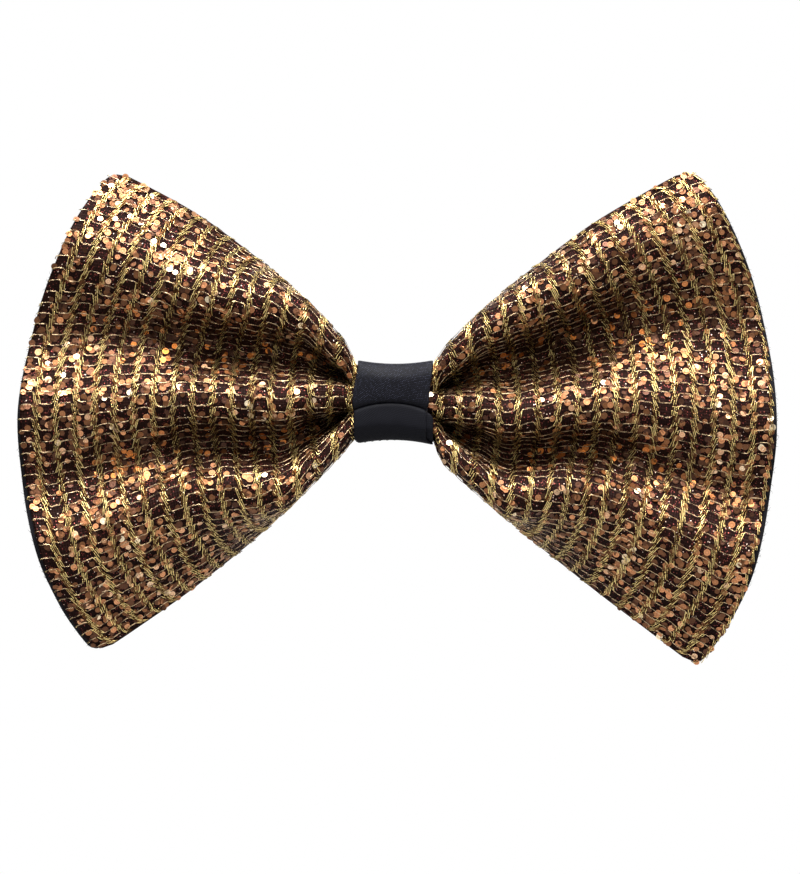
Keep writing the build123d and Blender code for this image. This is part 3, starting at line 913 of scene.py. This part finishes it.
def corners(mesh):
    """The point and the face of each face corner, and how many corners each face has."""
    corner = np.zeros(len(mesh.loops), np.int32)
    mesh.loops.foreach_get("vertex_index", corner)
    size = np.zeros(len(mesh.polygons), np.int32)
    mesh.polygons.foreach_get("loop_total", size)
    return corner, np.repeat(np.arange(len(size)), size), size


def flat_map(piece, kept):
    """The front's map in the lower half and the back's in the upper half."""
    corner, face, size = corners(piece.data)
    count = len(kept)
    u = kept[:, 0] / MAP_WIDTH + 0.5
    v = (kept[:, 1] / FABRIC_HEIGHT + 0.5) * MAP_HALF + MAP_MARGIN
    both = np.stack([np.concatenate([u, u]), np.concatenate([v, v + 0.5])], -1)
    places = both[corner]
    front_face = corner < count
    mixed = np.bincount(face, front_face)[face]
    rim = (mixed > 0) & (mixed < size[face])
    places[rim & ~front_face] = both[corner[rim & ~front_face] - count] + (0.0, 0.002)
    bake_map(piece, places)


def make_ply(name, lift, thickness, reveals, material, rows, columns):
    """One ply of the bow: a sheet from one outer edge to the other."""
    front, kept = cloth_grid(lift, reveals, rows, columns)
    back, _ = cloth_grid(lift - thickness, reveals, rows, columns)
    points, faces = slab(front, back)
    flat = kept.reshape(-1, 3)
    along, across, _ = flat.T
    # painted shade down between the folds, kept at the points for the cloth's finish
    hollow = np.where(along < 0, LEFT.hollow(-along, across), RIGHT.hollow(along, across))
    values, places = {"hollow": np.tile(hollow, 2)}, {"cloth": np.tile(flat, (2, 1))}
    piece = new_piece(name, points, faces, material, values, places)
    flat_map(piece, flat)
    return piece


def thread_line(wing, row, rng):
    """Where one gold thread runs over a wing: flat runs with steep steps between them."""
    s = bpy.context.scene.bow_gold
    column, cluster = s.column / MM, s.cluster / MM
    step = s.step_rows * s.row_spacing / MM
    places = []
    k = 0
    start = WAIST_HALF - 1.5
    while start + k * column < wing.reach:
        x = start + k * column
        level = step if k % 2 else -step
        flat = column - cluster
        for t in (0.12, 0.5, 0.88):
            places.append((x + flat * t, row + level, 0.0))
        for t in np.linspace(0.06, 0.94, 9):
            places.append((x + flat + cluster * t, row + level * (1 - 2 * t), 1.0))
        k += 1
    places = np.array(places)
    wander = rng.normal(0, 0.055, (len(places), 2))
    places[:, :2] += (wander + np.roll(wander, 1, 0) + np.roll(wander, -1, 0)) / 1.7
    return places


def wing_threads(wing, rng):
    """All the gold threads of a wing, cut where they leave the cloth."""
    s = bpy.context.scene.bow_gold
    spacing = s.row_spacing / MM
    half = FABRIC_HEIGHT / 2 - GOLD_MARGIN
    count = int(FABRIC_HEIGHT / spacing / 2 + s.step_rows) + 1
    radius = s.diameter / MM / 2
    parts = []
    for k in range(-count, count + 1):
        places = thread_line(wing, k * spacing, rng)
        inside = (np.abs(places[:, 1]) < half) & (places[:, 0] < wing.reach + 0.2)
        edges = np.flatnonzero(np.diff(np.concatenate([[0], inside.astype(int), [0]])))
        for first, last in zip(edges[::2], edges[1::2]):
            if last - first < 3:
                continue
            run = places[first:last]
            climb = run[:, 2]
            apart = s.strands / MM / 2 * rng.uniform(0.75, 1.2, len(run))
            lift = FRONT_LIFT + GOLD_LIFT + GOLD_WAVE * np.sin(run[:, 0] * 1.7 + k)
            for side in (-1, 1):
                line = wing.place(
                    run[:, 0] + side * apart * climb, run[:, 1] + side * apart * 0.3 * (1 - climb),
                    lift + side * 0.03 * np.sin(run[:, 0] * 2.1 + 2 * k),
                )
                thick = radius * (0.5 + 0.5 * climb) * rng.uniform(0.8, 1.2, len(run))
                points, faces, length_along = tube(line, thick, sides=STRAND_SIDES, flatness=0.7)
                number = np.full(len(points), 2 * (k + count) + side)
                # painted shade down between the folds, kept at the points for the threads' finish
                hollow = wing.hollow(run[:, 0], run[:, 1])
                kept = np.repeat([climb, hollow], STRAND_SIDES, 1)
                parts.append((points, faces, length_along, *kept, number))
    return joined(parts)


def tube_map(piece, length_along, sides):
    """Each tube as a band of the map: along it, and round it."""
    corner, face, size = corners(piece.data)
    number = np.arange(len(length_along))
    start = np.flatnonzero((length_along == 0) & (number % sides == 0))
    band = np.searchsorted(start, number, side="right") - 1
    turn = (number % sides)[corner].astype(float)
    low = np.full(len(size), np.inf)
    high = np.full(len(size), -np.inf)
    np.minimum.at(low, face, turn)
    np.maximum.at(high, face, turn)
    seam = (high[face] - low[face] > sides / 2) & (size[face] == 4)
    turn = np.where(seam & (turn == 0), sides, turn)
    v = (band[corner] + 0.1 + 0.8 * turn / sides) / len(start)
    u = 0.01 + 0.98 * length_along[corner] / length_along.max()
    bake_map(piece, np.stack([u, v], -1))


def wing_flakes(wing, rng):
    """Glitter flakes: flat discs scattered in drifts, each a little tilted."""
    s = bpy.context.scene.bow_flakes
    count, sides = s.count, FLAKE_SIDES
    start = WAIST_HALF - 0.5
    half = FABRIC_HEIGHT / 2 - FLAKE_MARGIN
    tries = count * 3
    along = np.sqrt(rng.uniform((start / wing.reach) ** 2 * 0.3, 1.0, tries)) * wing.reach
    along = np.where(rng.random(tries) < 0.5, rng.uniform(start, wing.reach, tries), along)
    across = rng.uniform(-half, half, tries)
    drift = np.sin(along * 0.21 + 2 * np.sin(across * 0.13)) * np.sin(across * 0.29 + wing.side)
    kept = (rng.random(tries) < 0.46 + 0.26 * drift) & (along > start)
    along, across, drift = along[kept][:count], across[kept][:count], drift[kept][:count]
    count = len(along)
    lift = FRONT_LIFT + rng.uniform(0.04, 0.2, count)
    centre = wing.place(along, across, lift)
    ahead, up, out = wing.axes(along, across, lift)
    lean = rng.normal(0, 0.13, (count, 2)) * np.where(rng.random(count) < 0.12, 2.4, 1.0)[:, None]
    out = unit(out + ahead * lean[:, :1] + up * lean[:, 1:])
    ahead = unit(ahead - out * (ahead * out).sum(1, keepdims=True))
    up = np.cross(out, ahead)
    radius = s.radius / MM * rng.uniform(0.84, 1.14, count)
    angle = round_angles(sides) + rng.uniform(0, 1, count)[:, None]
    rim = ahead[:, None] * np.cos(angle)[..., None] + up[:, None] * np.sin(angle)[..., None]
    rim = centre[:, None] + rim * radius[:, None, None]
    thick = s.thickness / MM
    top = rim + out[:, None] * thick
    middle = (centre + out * thick * 0.7)[:, None]
    points = np.concatenate([middle, top, rim], 1).reshape(-1, 3)
    ring = [(1 + i, 1 + (i + 1) % sides) for i in range(sides)]
    one = [[0, a, b] for a, b in ring] + [[a, a + sides, b + sides, b] for a, b in ring]
    one += [[a + sides for a, _ in ring][::-1]]
    size = 1 + 2 * sides
    faces = [[i + k * size for i in f] for k in range(count) for f in one]
    luck = rng.random(count) + 0.08 * drift
    tint = np.interp(luck, [0, 0.5, 0.76, 0.93, 0.985, 1.0], [0.0, 0.2, 0.42, 0.68, 0.9, 1.0])
    radial = np.tile(np.array([0.0] + [1.0] * (2 * sides)), count)
    # painted shade and painted glow down between the folds, kept at the points for the flakes'
    # finish
    hollow = wing.hollow(along, across)
    return points, faces, np.repeat(tint, size), radial, np.repeat(hollow, size)


def reveal_none(wing, across):
    """The glitter cloth ends at the outline."""
    return 0 * across


def reveal_backing(wing, across):
    """How far the backing shows past the glitter cloth: on the left most in the lower half, on
    the right most in the middle."""
    base = bpy.context.scene.bow_backing.reveal / MM
    u = across / (FABRIC_HEIGHT / 2)
    if wing.side < 0:
        return base * (0.1 + 0.95 * ease((0.5 - u) / 0.9))
    return base * (0.5 + 0.6 * ease((u + 0.9) / 0.5) * ease((0.7 - u) / 0.6))


def edge_fibres(wing, rng, count):
    """Loose fibres that stand out of the backing's cut outer edge."""
    across = rng.uniform(-1, 1, count) * (FABRIC_HEIGHT / 2 - 1)
    reveal = reveal_backing(wing, across)
    start = wing.reach * (1 + (reveal - 0.1) / wing.outer(across))
    far = rng.uniform(0.15, 0.6, count)
    lean = rng.normal(0, 0.5, count)
    curl = rng.normal(0, 0.5, count)
    parts = []
    for k in range(count):
        t = np.linspace(0, 1, 4)
        line = wing.place(
            start[k] + far[k] * t, across[k] + far[k] * (lean[k] * t + curl[k] * t * t),
            BACKING_LIFT - BACKING_T * 0.5 - 0.3 * curl[k] * far[k] * t * t,
        )
        parts.append(tube(line, np.array([0.035, 0.03, 0.025, 0.012]), sides=3))
    return joined(parts)


def smooth_loop(controls, count):
    """A closed smooth line through control points, with evenly spaced points."""
    p = np.asarray(controls, float)
    before, after, far = np.roll(p, 1, 0), np.roll(p, -1, 0), np.roll(p, -2, 0)
    t = np.linspace(0, 1, 16, endpoint=False)[None, :, None]
    p0, p1, p2, p3 = (q[:, None, :] for q in (before, p, after, far))
    line = 0.5 * (2 * p1 + (p2 - p0) * t + (2 * p0 - 5 * p1 + 4 * p2 - p3) * t ** 2
                  + (3 * p1 - p0 - 3 * p2 + p3) * t ** 3)
    line = line.reshape(-1, 2)
    closed = np.concatenate([line, line[:1]])
    run = run_along(closed)
    even = np.linspace(0, run[-1], count, endpoint=False)
    return np.stack([np.interp(even, run, closed[:, i]) for i in (0, 1)], -1), even


def band_controls(x, tuck):
    """Control points of the ribbon's outer turn at x, as (y, z), from the middle of its back
    over the top, down the two lobes of its front and back under the bottom."""
    end = (x / (BAND_WIDTH / 2)) ** 2
    sag = 1 - min(end, 1)
    top = BAND_Z + BAND_HEIGHT / 2 - BAND_SAG * 1.3 * sag
    bottom = BAND_Z - BAND_HEIGHT / 2 + BAND_SAG * 1.5 * sag - 0.02 * x
    front, back, r = BAND_FRONT, BAND_BACK, BAND_CORNER_R
    crease = CREASE_Z - 1.4 * end
    lobe = front - LOBE_BULGE * (1 - 0.25 * end)
    sole = front - LOBE_BULGE * 0.55
    return [
        (back, BAND_Z), (back, top - r), (back - r * 0.25, top - r * 0.25), (back - r, top),
        ((front + back) / 2, top - 0.1), (front + r, top), (front + r * 0.3, top - r * 0.22),
        (lobe + 0.25, top - r), (lobe, mix(crease, top, 0.5)), (lobe + 0.06, crease + 1.3),
        (lobe + 0.28, crease + 0.35), (lobe + 0.62, crease + 0.02),
        (lobe + 0.62 + tuck, crease + 0.22), (sole + 0.35, crease - 0.12),
        (sole + 0.12, crease - 0.7), (sole, mix(crease, bottom, 0.5)),
        (sole + 0.25, bottom + r), (front + r * 0.35, bottom + r * 0.25),
        (front + r, bottom), ((front + back) / 2, bottom + 0.1), (back - r, bottom),
        (back - r * 0.25, bottom + r * 0.25), (back, bottom + r),
    ]


def outer_turn_edges(y, z):
    """Where the ribbon's outer turn begins and ends along X: it runs askew on the front."""
    on_front = ease((BAND_FRONT + 1.8 - y) / 1.5)
    down = ease((BAND_Z + BAND_HEIGHT / 2 - z) / 7.5)
    low = ease((CREASE_Z - z) / 1.5)
    left = -BAND_WIDTH / 2 + 0.7 - (1.0 * down - 0.25 * low) * on_front
    right = BAND_WIDTH / 2 - 0.35 - (0.75 * down + 0.5 * low) * on_front
    return left, right


def inner_turn_edges(y, z):
    """The first turn lies straighter: it shows only past the outer turn's lower right edge."""
    low = ease((CREASE_Z - 1.0 - z) / 2.0)
    return np.full_like(y, 0.95 - BAND_WIDTH / 2), BAND_WIDTH / 2 - 1.4 + 1.05 * low


def ribbon_ring(tuck, inset, thickness, edges, columns, count=180):
    """A closed turn of ribbon: points, faces, and places on the ribbon. It lies inset from the
    outer turn's face, between its edges."""
    rows, kept = [], []
    centre = np.array([(BAND_FRONT + BAND_BACK) / 2, BAND_Z])
    for share_across in columns:
        line, run = smooth_loop(band_controls((share_across - 0.5) * BAND_WIDTH, tuck), count)
        ahead = np.roll(line, -1, 0) - np.roll(line, 1, 0)
        inward = unit(np.stack([-ahead[:, 1], ahead[:, 0]], -1))
        inward *= np.sign(((centre - line) * inward).sum(1).mean())
        left, right = edges(line[:, 0], line[:, 1])
        x = left + (right - left) * share_across
        soft = RIM_SOFT * max(0.0, 1 - min(share_across, 1 - share_across) / RIM_SHARE)
        depths = inset + soft, inset + thickness - soft
        rows.append([np.column_stack([x, line + inward * depth]) for depth in depths])
        kept.append(np.column_stack([run, x, line[:, 1]]))
    wide = len(columns)
    size = count * wide
    first = np.arange(wide - 1)
    last = first + size - wide
    turn = np.concatenate([quads(count, wide), np.stack([last, last + 1, first + 1, first], -1)])
    face = [turn, (turn + size)[:, ::-1]]
    for side in (0, wide - 1):
        a = np.arange(count) * wide + side
        b = np.roll(a, -1)
        face.append(np.stack([a, b, b + size, a + size], -1))
    points = np.concatenate([np.stack(grid, 1).reshape(-1, 3) for grid in zip(*rows)])
    flat = np.stack(kept, 1).reshape(-1, 3)
    return points, np.concatenate(face), np.tile(flat, (2, 1))


def wrapped_thread_line():
    """The gathering thread's line: rounded square turns that step along X."""
    out = THREAD_GAP + THREAD_D / 2
    front, back = PANEL_Y + WAIST_FRONT - out, PANEL_Y + WAIST_BACK + out
    half = WAIST_HEIGHT / 2 + out
    depth, r = (back - front) / 2 - THREAD_CORNER_R, THREAD_CORNER_R
    turn = []
    for k, (sy, sz) in enumerate(((1, -1), (-1, -1), (-1, 1), (1, 1))):
        for angle in np.radians(np.linspace(-90 * k, -90 * (k + 1), 7)):
            turn.append((sy * depth + r * math.cos(angle), sz * (half - r) + r * math.sin(angle)))
    turn = np.array(turn)
    line = np.concatenate([[(depth + r, 0)], *[turn] * THREAD_TURNS, [(depth + r, 0)]])
    run = run_along(line)
    x = (run / run[-1] - 0.5) * THREAD_TURNS * THREAD_PITCH
    return np.column_stack([x, line[:, 0] + (front + back) / 2, line[:, 1] + BAND_Z])


def spring_line(pivot):
    """Middle of the spring's wire: the jaw's leg, the coil, and the upper arm's leg."""
    angle = np.radians(np.linspace(90 + TAIL_ANGLE, 360 * COIL_TURNS + 270, 110))
    rise = (angle - angle[0]) / (2 * math.pi) * (COIL_WIRE + COIL_TURN_GAP)
    coil = np.column_stack([np.cos(angle) * COIL_R, np.sin(angle) * COIL_R, rise])
    reach = np.linspace(SPRING_LEG, 0.6, 8)[:, None]
    tail = np.array([math.cos(math.radians(TAIL_ANGLE)), math.sin(math.radians(TAIL_ANGLE)), 0])
    line = np.concatenate([coil[0] + reach * tail, coil, coil[-1] + reach[::-1] * (1, 0, 0)])
    line[:, 2] -= rise[-1] / 2
    return line + pivot


def lining_piece(material):
    """Grosgrain ribbon folded round the upper arm's jaw, with raised ribs."""
    low, high = (np.array(v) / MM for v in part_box("clip_lining"))
    arm_low, _ = (np.array(v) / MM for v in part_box("clip_upper_arm"))
    tip_x, tip_out = arm_low[0], arm_low[0] - low[0]
    middle, half = (low[1] + high[1]) / 2, (high[1] - low[1]) / 2
    back_end = -BAND_WIDTH / 2 - BAND_CLEAR
    fine = 0.11
    front = np.arange(high[0], tip_x, -fine)
    turn = np.radians(np.linspace(-90, -270, 16))
    back = np.arange(tip_x, back_end, fine)
    x = np.concatenate([front, tip_x + tip_out * np.cos(turn), back])
    y = np.concatenate([0 * front - half, half * np.sin(turn), 0 * back + half])
    out = np.concatenate([0 * front - 1, np.sin(turn), 0 * back + 1])
    over = np.concatenate([0 * front, np.cos(turn), 0 * back])
    run = np.concatenate([[0], np.cumsum(np.hypot(np.diff(x), np.diff(y)))])
    pitch = bpy.context.scene.bow_clip.rib / MM
    rib = 0.05 * np.cos(2 * math.pi * run / pitch)
    z = np.array([-1, -0.985, -0.5, 0, 0.5, 0.985, 1]) * high[2]
    drop = np.array([0.08, 0, 0, 0, 0, 0, 0.08])

    def face(depth, soft):
        by = (rib - depth)[:, None] - soft[None, :]
        gx, gy = x[:, None] + over[:, None] * by, middle + y[:, None] + out[:, None] * by
        return np.stack([gx, gy, np.broadcast_to(z, gx.shape)], -1)

    outer, inner = face(0.05, drop), face(LINING_T - 0.07, 0 * drop)
    points, faces = slab(outer, inner)
    kept = np.stack(np.broadcast_arrays(run[:, None], z[None, :], 0.0), -1).reshape(-1, 3)
    return new_piece("grosgrain_lining", points, faces, material,
                     places={"ribbon": np.tile(kept, (2, 1))})


def stitch_row(name, places, ahead, out, size, material):
    """Short stitches: each is a small arch of thread along ahead, over the ribbon."""
    t = np.linspace(-1, 1, 7)
    arch = np.outer(t * size, ahead) + np.outer(STITCH_ARCH * (1 - t ** 4), out)
    points, faces, (run,) = joined([
        tube(np.array(place) + arch, np.full(len(t), STITCH_R)) for place in places
    ])
    return new_piece(name, points, faces, material, values={"thread_length": run})


# ---------------------------------------------------------------- operators
class BOW_OT_stage(Operator):
    """Camera, lamps, room and floor"""

    bl_idname = "bow.stage"
    bl_label = "Set the stage"

    def execute(self, context):
        s = context.scene.bow_stage
        scene = context.scene
        scene.view_settings.view_transform = "Standard"
        low, high = CAD_BOX
        centre = (Vector(low) + Vector(high)) / 2
        camera_data = bpy.data.cameras.new("bow_camera")
        camera_data.sensor_fit = "VERTICAL"
        camera_data.angle_y = 2 * math.atan(VIEW_HEIGHT / 2 / s.distance)
        camera = bpy.data.objects.new("bow_camera", camera_data)
        camera.location = (AIM_X, centre.y - s.distance, AIM_Z)
        camera.rotation_euler = (math.pi / 2, 0, 0)
        scene.collection.objects.link(camera)
        scene.camera = camera
        self.lamp("key_lamp", s.key, (0.0, -0.22, 0.52), 0.34)
        self.lamp("front_lamp", s.front, (-0.12, -0.58, 0.34), 0.30)
        self.lamp("side_lamp", s.front * 1.5, (0.42, -0.3, 0.42), 0.25)
        self.lamp("back_lamp", s.front * 1.1, (-0.1, 0.5, 0.3), 0.4)
        self.room(scene, s)
        self.floor(s, low)
        return {"FINISHED"}

    def lamp(self, name, power, place, size):
        """A square lamp that faces the bow's middle."""
        data = bpy.data.lights.new(name, "AREA")
        data.energy = power
        data.size = size
        lamp = bpy.data.objects.new(name, data)
        lamp.location = place
        lamp.rotation_euler = (-Vector(place)).to_track_quat("-Z", "Y").to_euler()
        bpy.context.scene.collection.objects.link(lamp)

    def room(self, scene, s):
        """A room that looks white but lights the bow only a little."""
        world = bpy.data.worlds.new("room")
        scene.world = world
        f = Finish(world)
        camera, glossy, through = f.rays("Camera", "Glossy", "Transmission")
        seen = f.clamped(camera + glossy * s.mirrored + through)
        background = f.tree.nodes["Background"]
        background.inputs["Color"].default_value = (1.0, 1.0, 1.0, 1.0)
        f.feed(background.inputs["Strength"], s.ambient + (1 - s.ambient) * seen)

    def floor(self, s, low):
        """A round sheet of paper that fades into the room."""
        radius, rings, sides = 0.72, 24, 96
        angle = round_angles(sides)
        reach = np.linspace(0.01, 1, rings)[:, None] * radius / MM
        x, y = reach * np.cos(angle), reach * np.sin(angle)
        points = np.stack([x, y, np.full_like(x, (low[2] - s.drop) / MM)], -1).reshape(-1, 3)
        faces = [list(q) for q in quads(rings, sides, closed=True)] + [list(range(sides))]
        f = new_finish("paper_floor")
        camera, glossy = f.rays("Camera", "Glossy")
        seen = f.clamped(camera + glossy * 0.3)
        f.surface(Base_Color=f.blend(seen, s.dim_paper, s.paper), Roughness=0.9)
        place = f.node("TexCoord", output=3)
        out = f.node("VectorMath", dict(operation="LENGTH"), {0: place}, output=1)
        fade = f.between(out, radius * 0.25, radius * 0.95)
        clear = f.node("BsdfTransparent")
        shader = Wire(f, f.tree.nodes["Principled BSDF"].outputs[0])
        mixed = f.node("MixShader", sockets={0: fade, 1: shader, 2: clear})
        f.feed(f.tree.nodes["Material Output"].inputs["Surface"], mixed)
        new_piece("floor", points, faces, f.owner)


class BOW_OT_glitter_cloth(Operator):
    """The pleated glitter cloth that makes both wings"""

    bl_idname = "bow.glitter_cloth"
    bl_label = "Fold the glitter cloth"

    def execute(self, context):
        cloth = make_ply(
            "glitter_cloth", FRONT_LIFT, GLITTER_T, reveal_none, glitter_ground(),
            rows=150, columns=110,
        )
        settle(cloth, BOW, "glitter_cloth", "glitter_panel")
        return {"FINISHED"}


class BOW_OT_gold_threads(Operator):
    """Gold threads laid over the glitter cloth"""

    bl_idname = "bow.gold_threads"
    bl_label = "Lay the gold threads"

    def execute(self, context):
        foil = gold_foil()
        for name, wing, seed in (("left", LEFT, 3), ("right", RIGHT, 4)):
            rng = np.random.default_rng(seed)
            points, faces, kept = wing_threads(wing, rng)
            values = dict(zip(("thread_length", "climb", "hollow", "thread_number"), kept))
            threads = new_piece(f"gold_threads_{name}", points, faces, foil, values)
            tube_map(threads, kept[0], STRAND_SIDES)
            settle(threads, BOW, "glitter_cloth")
        return {"FINISHED"}


class BOW_OT_flakes(Operator):
    """Glitter flakes on the cloth, under the gold threads"""

    bl_idname = "bow.flakes"
    bl_label = "Scatter the glitter flakes"

    def execute(self, context):
        foil = flake_foil()
        for name, wing, seed in (("left", LEFT, 11), ("right", RIGHT, 12)):
            points, faces, *kept = wing_flakes(wing, np.random.default_rng(seed))
            values = dict(zip(("tint", "radial", "hollow"), kept))
            flakes = new_piece(f"glitter_flakes_{name}", points, faces, foil, values, flat=True)
            settle(flakes, BOW, "glitter_cloth")
        return {"FINISHED"}


class BOW_OT_backing(Operator):
    """Black backing cloth behind the glitter cloth"""

    bl_idname = "bow.backing"
    bl_label = "Back the bow"

    def execute(self, context):
        s = context.scene.bow_backing
        cloth = make_ply(
            "backing_cloth", BACKING_LIFT, BACKING_T, reveal_backing,
            woven("backing_weave", tuple(s.black), s.yarn), rows=120, columns=90,
        )
        settle(cloth, BOW, "backing_cloth", "backing_panel")
        lint = cotton_finish("backing_lint", shade(s.black, 2.2))
        rng = np.random.default_rng(21)
        parts = [edge_fibres(wing, rng, s.fuzz // 2) for wing in (LEFT, RIGHT)]
        points, faces, (run,) = joined([(p, q, *kept) for p, q, kept in parts])
        fibres = new_piece("backing_fibres", points, faces, lint, {"thread_length": run})
        settle(fibres, BOW, "backing_cloth")
        return {"FINISHED"}


class BOW_OT_knot(Operator):
    """Satin ribbon wound twice round the waist, its end stitched down underneath"""

    bl_idname = "bow.knot"
    bl_label = "Wind the knot"

    def execute(self, context):
        s = context.scene.bow_knot
        satin = satin_finish()
        columns = np.concatenate([[0, 0.01, 0.03], np.linspace(0.06, 0.94, 19), [0.97, 0.99, 1]])
        tuck = s.tuck / MM / 2
        for name, inset, thickness, edges, nodes in (
            ("satin_knot", 0.0, BAND_PLY - 0.05, outer_turn_edges, ["knot_band"]),
            ("satin_inner_turn", BAND_PLY + 0.02, BAND_PLY - 0.1, inner_turn_edges, []),
        ):
            points, faces, kept = ribbon_ring(tuck, inset, thickness, edges, columns)
            ribbon = new_piece(name, points, faces, satin, places={"ribbon": kept})
            settle(ribbon, BOW, "satin_ribbon", *nodes)
        cotton = cotton_finish("black_cotton", shade(s.satin, 1.3))
        under = BAND_Z - BAND_HEIGHT / 2 + BAND_SAG * 1.5
        places = [
            (x, BAND_BACK - 4.5, under + 0.12 - BAND_SAG * 1.5 * (x / BAND_WIDTH * 2) ** 2)
            for x in np.linspace(-5.5, 5.5, 9)
        ]
        stitches = stitch_row("knot_stitches", places, (0.35, 1, 0), (0, 0, -1), 0.6, cotton)
        settle(stitches, BOW, "thread")
        line = wrapped_thread_line()
        thick = np.full(len(line), THREAD_D / 2)
        points, faces, run = tube(line, thick, sides=8, flatness=0.8, twist=1.0)
        thread = new_piece("waist_thread", points, faces, cotton, {"thread_length": run})
        settle(thread, BOW, "thread", "gathering_thread")
        return {"FINISHED"}


class BOW_OT_clip(Operator):
    """Steel clip: plated arms and pin, coiled spring, ribbed lining and finger ribs"""

    bl_idname = "bow.clip"
    bl_label = "Finish the clip"

    def execute(self, context):
        s = context.scene.bow_clip
        steel = steel_finish("plated_steel", tuple(s.steel), brush_scale=260.0, rough=0.2)
        for node in ("clip_upper_arm", "clip_lower_arm", "clip_pin"):
            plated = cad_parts[node]
            plated.data.materials.clear()
            plated.data.materials.append(steel)
        low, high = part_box("clip_pin")
        pivot = np.array((low + high) / 2) / MM
        line = spring_line(pivot)
        points, faces, run = tube(line, np.full(len(line), COIL_WIRE / 2), 12)
        wire = steel_finish("spring_wire", tuple(s.wire), brush_scale=500.0, rough=0.25)
        spring = new_piece("torsion_spring", points, faces, wire, {"thread_length": run})
        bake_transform(spring)
        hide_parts("clip_spring")
        settle(lining_piece(grosgrain_finish()), BOW, "grosgrain", "clip_lining")
        self.finger_ribs(steel)
        return {"FINISHED"}

    def finger_ribs(self, steel):
        """Raised ribs across the tail of the jaw, for the finger that opens it."""
        _, high = (np.array(v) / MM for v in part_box("clip_lower_arm"))
        slope = math.tan(math.radians(TAIL_ANGLE))
        parts = []
        for k in range(RIBS):
            x = high[0] - RIB_INSET - RIB_STEP * k
            y = high[1] - (high[0] - x) * slope - RIB_SUNK
            past = max(x - high[0] + TAIL_R, 0)
            half = min(RIB_HALF, math.sqrt(max(TAIL_R ** 2 - past ** 2, 0)) - RIB_MARGIN)
            z = np.linspace(-half, half, 9)
            thick = RIB_R * np.sqrt(np.clip(1.02 - (z / half) ** 4, 0.05, 1))
            line = np.column_stack([np.full(9, x), np.full(9, y), z])
            parts.append(tube(line, thick, sides=10))
        points, faces, _ = joined(parts)
        settle(new_piece("finger_ribs", points, faces, steel), JAW, "clip_steel")


CLASSES = [
    *SETTINGS.values(),
    BOW_OT_stage,
    BOW_OT_glitter_cloth,
    BOW_OT_gold_threads,
    BOW_OT_flakes,
    BOW_OT_backing,
    BOW_OT_knot,
    BOW_OT_clip,
]
ORDER = [cls.bl_idname for cls in CLASSES if hasattr(cls, "bl_idname")]


class BOW_PT_panel(Panel):
    """The bow's pieces and their settings"""

    bl_idname = "BOW_PT_panel"
    bl_label = "Bow"
    bl_space_type = "VIEW_3D"
    bl_region_type = "UI"
    bl_category = "Bow"

    def draw(self, context):
        for name in ORDER:
            self.layout.operator(name)
        for key, group in SETTINGS.items():
            box = self.layout.box()
            box.label(text=group.__name__.replace("Settings", ""))
            for prop in group.__annotations__:
                box.prop(getattr(context.scene, key), prop)


def register():
    for cls in [*CLASSES, BOW_PT_panel]:
        bpy.utils.register_class(cls)
    for key, group in SETTINGS.items():
        setattr(bpy.types.Scene, key, PointerProperty(type=group))


def unregister():
    for key in SETTINGS:
        delattr(bpy.types.Scene, key)
    for cls in [BOW_PT_panel, *reversed(CLASSES)]:
        bpy.utils.unregister_class(cls)


def main():
    register()
    for name in ORDER:
        group, operator = name.split(".")
        getattr(getattr(bpy.ops, group), operator)()


if __name__ == "__main__":
    main()
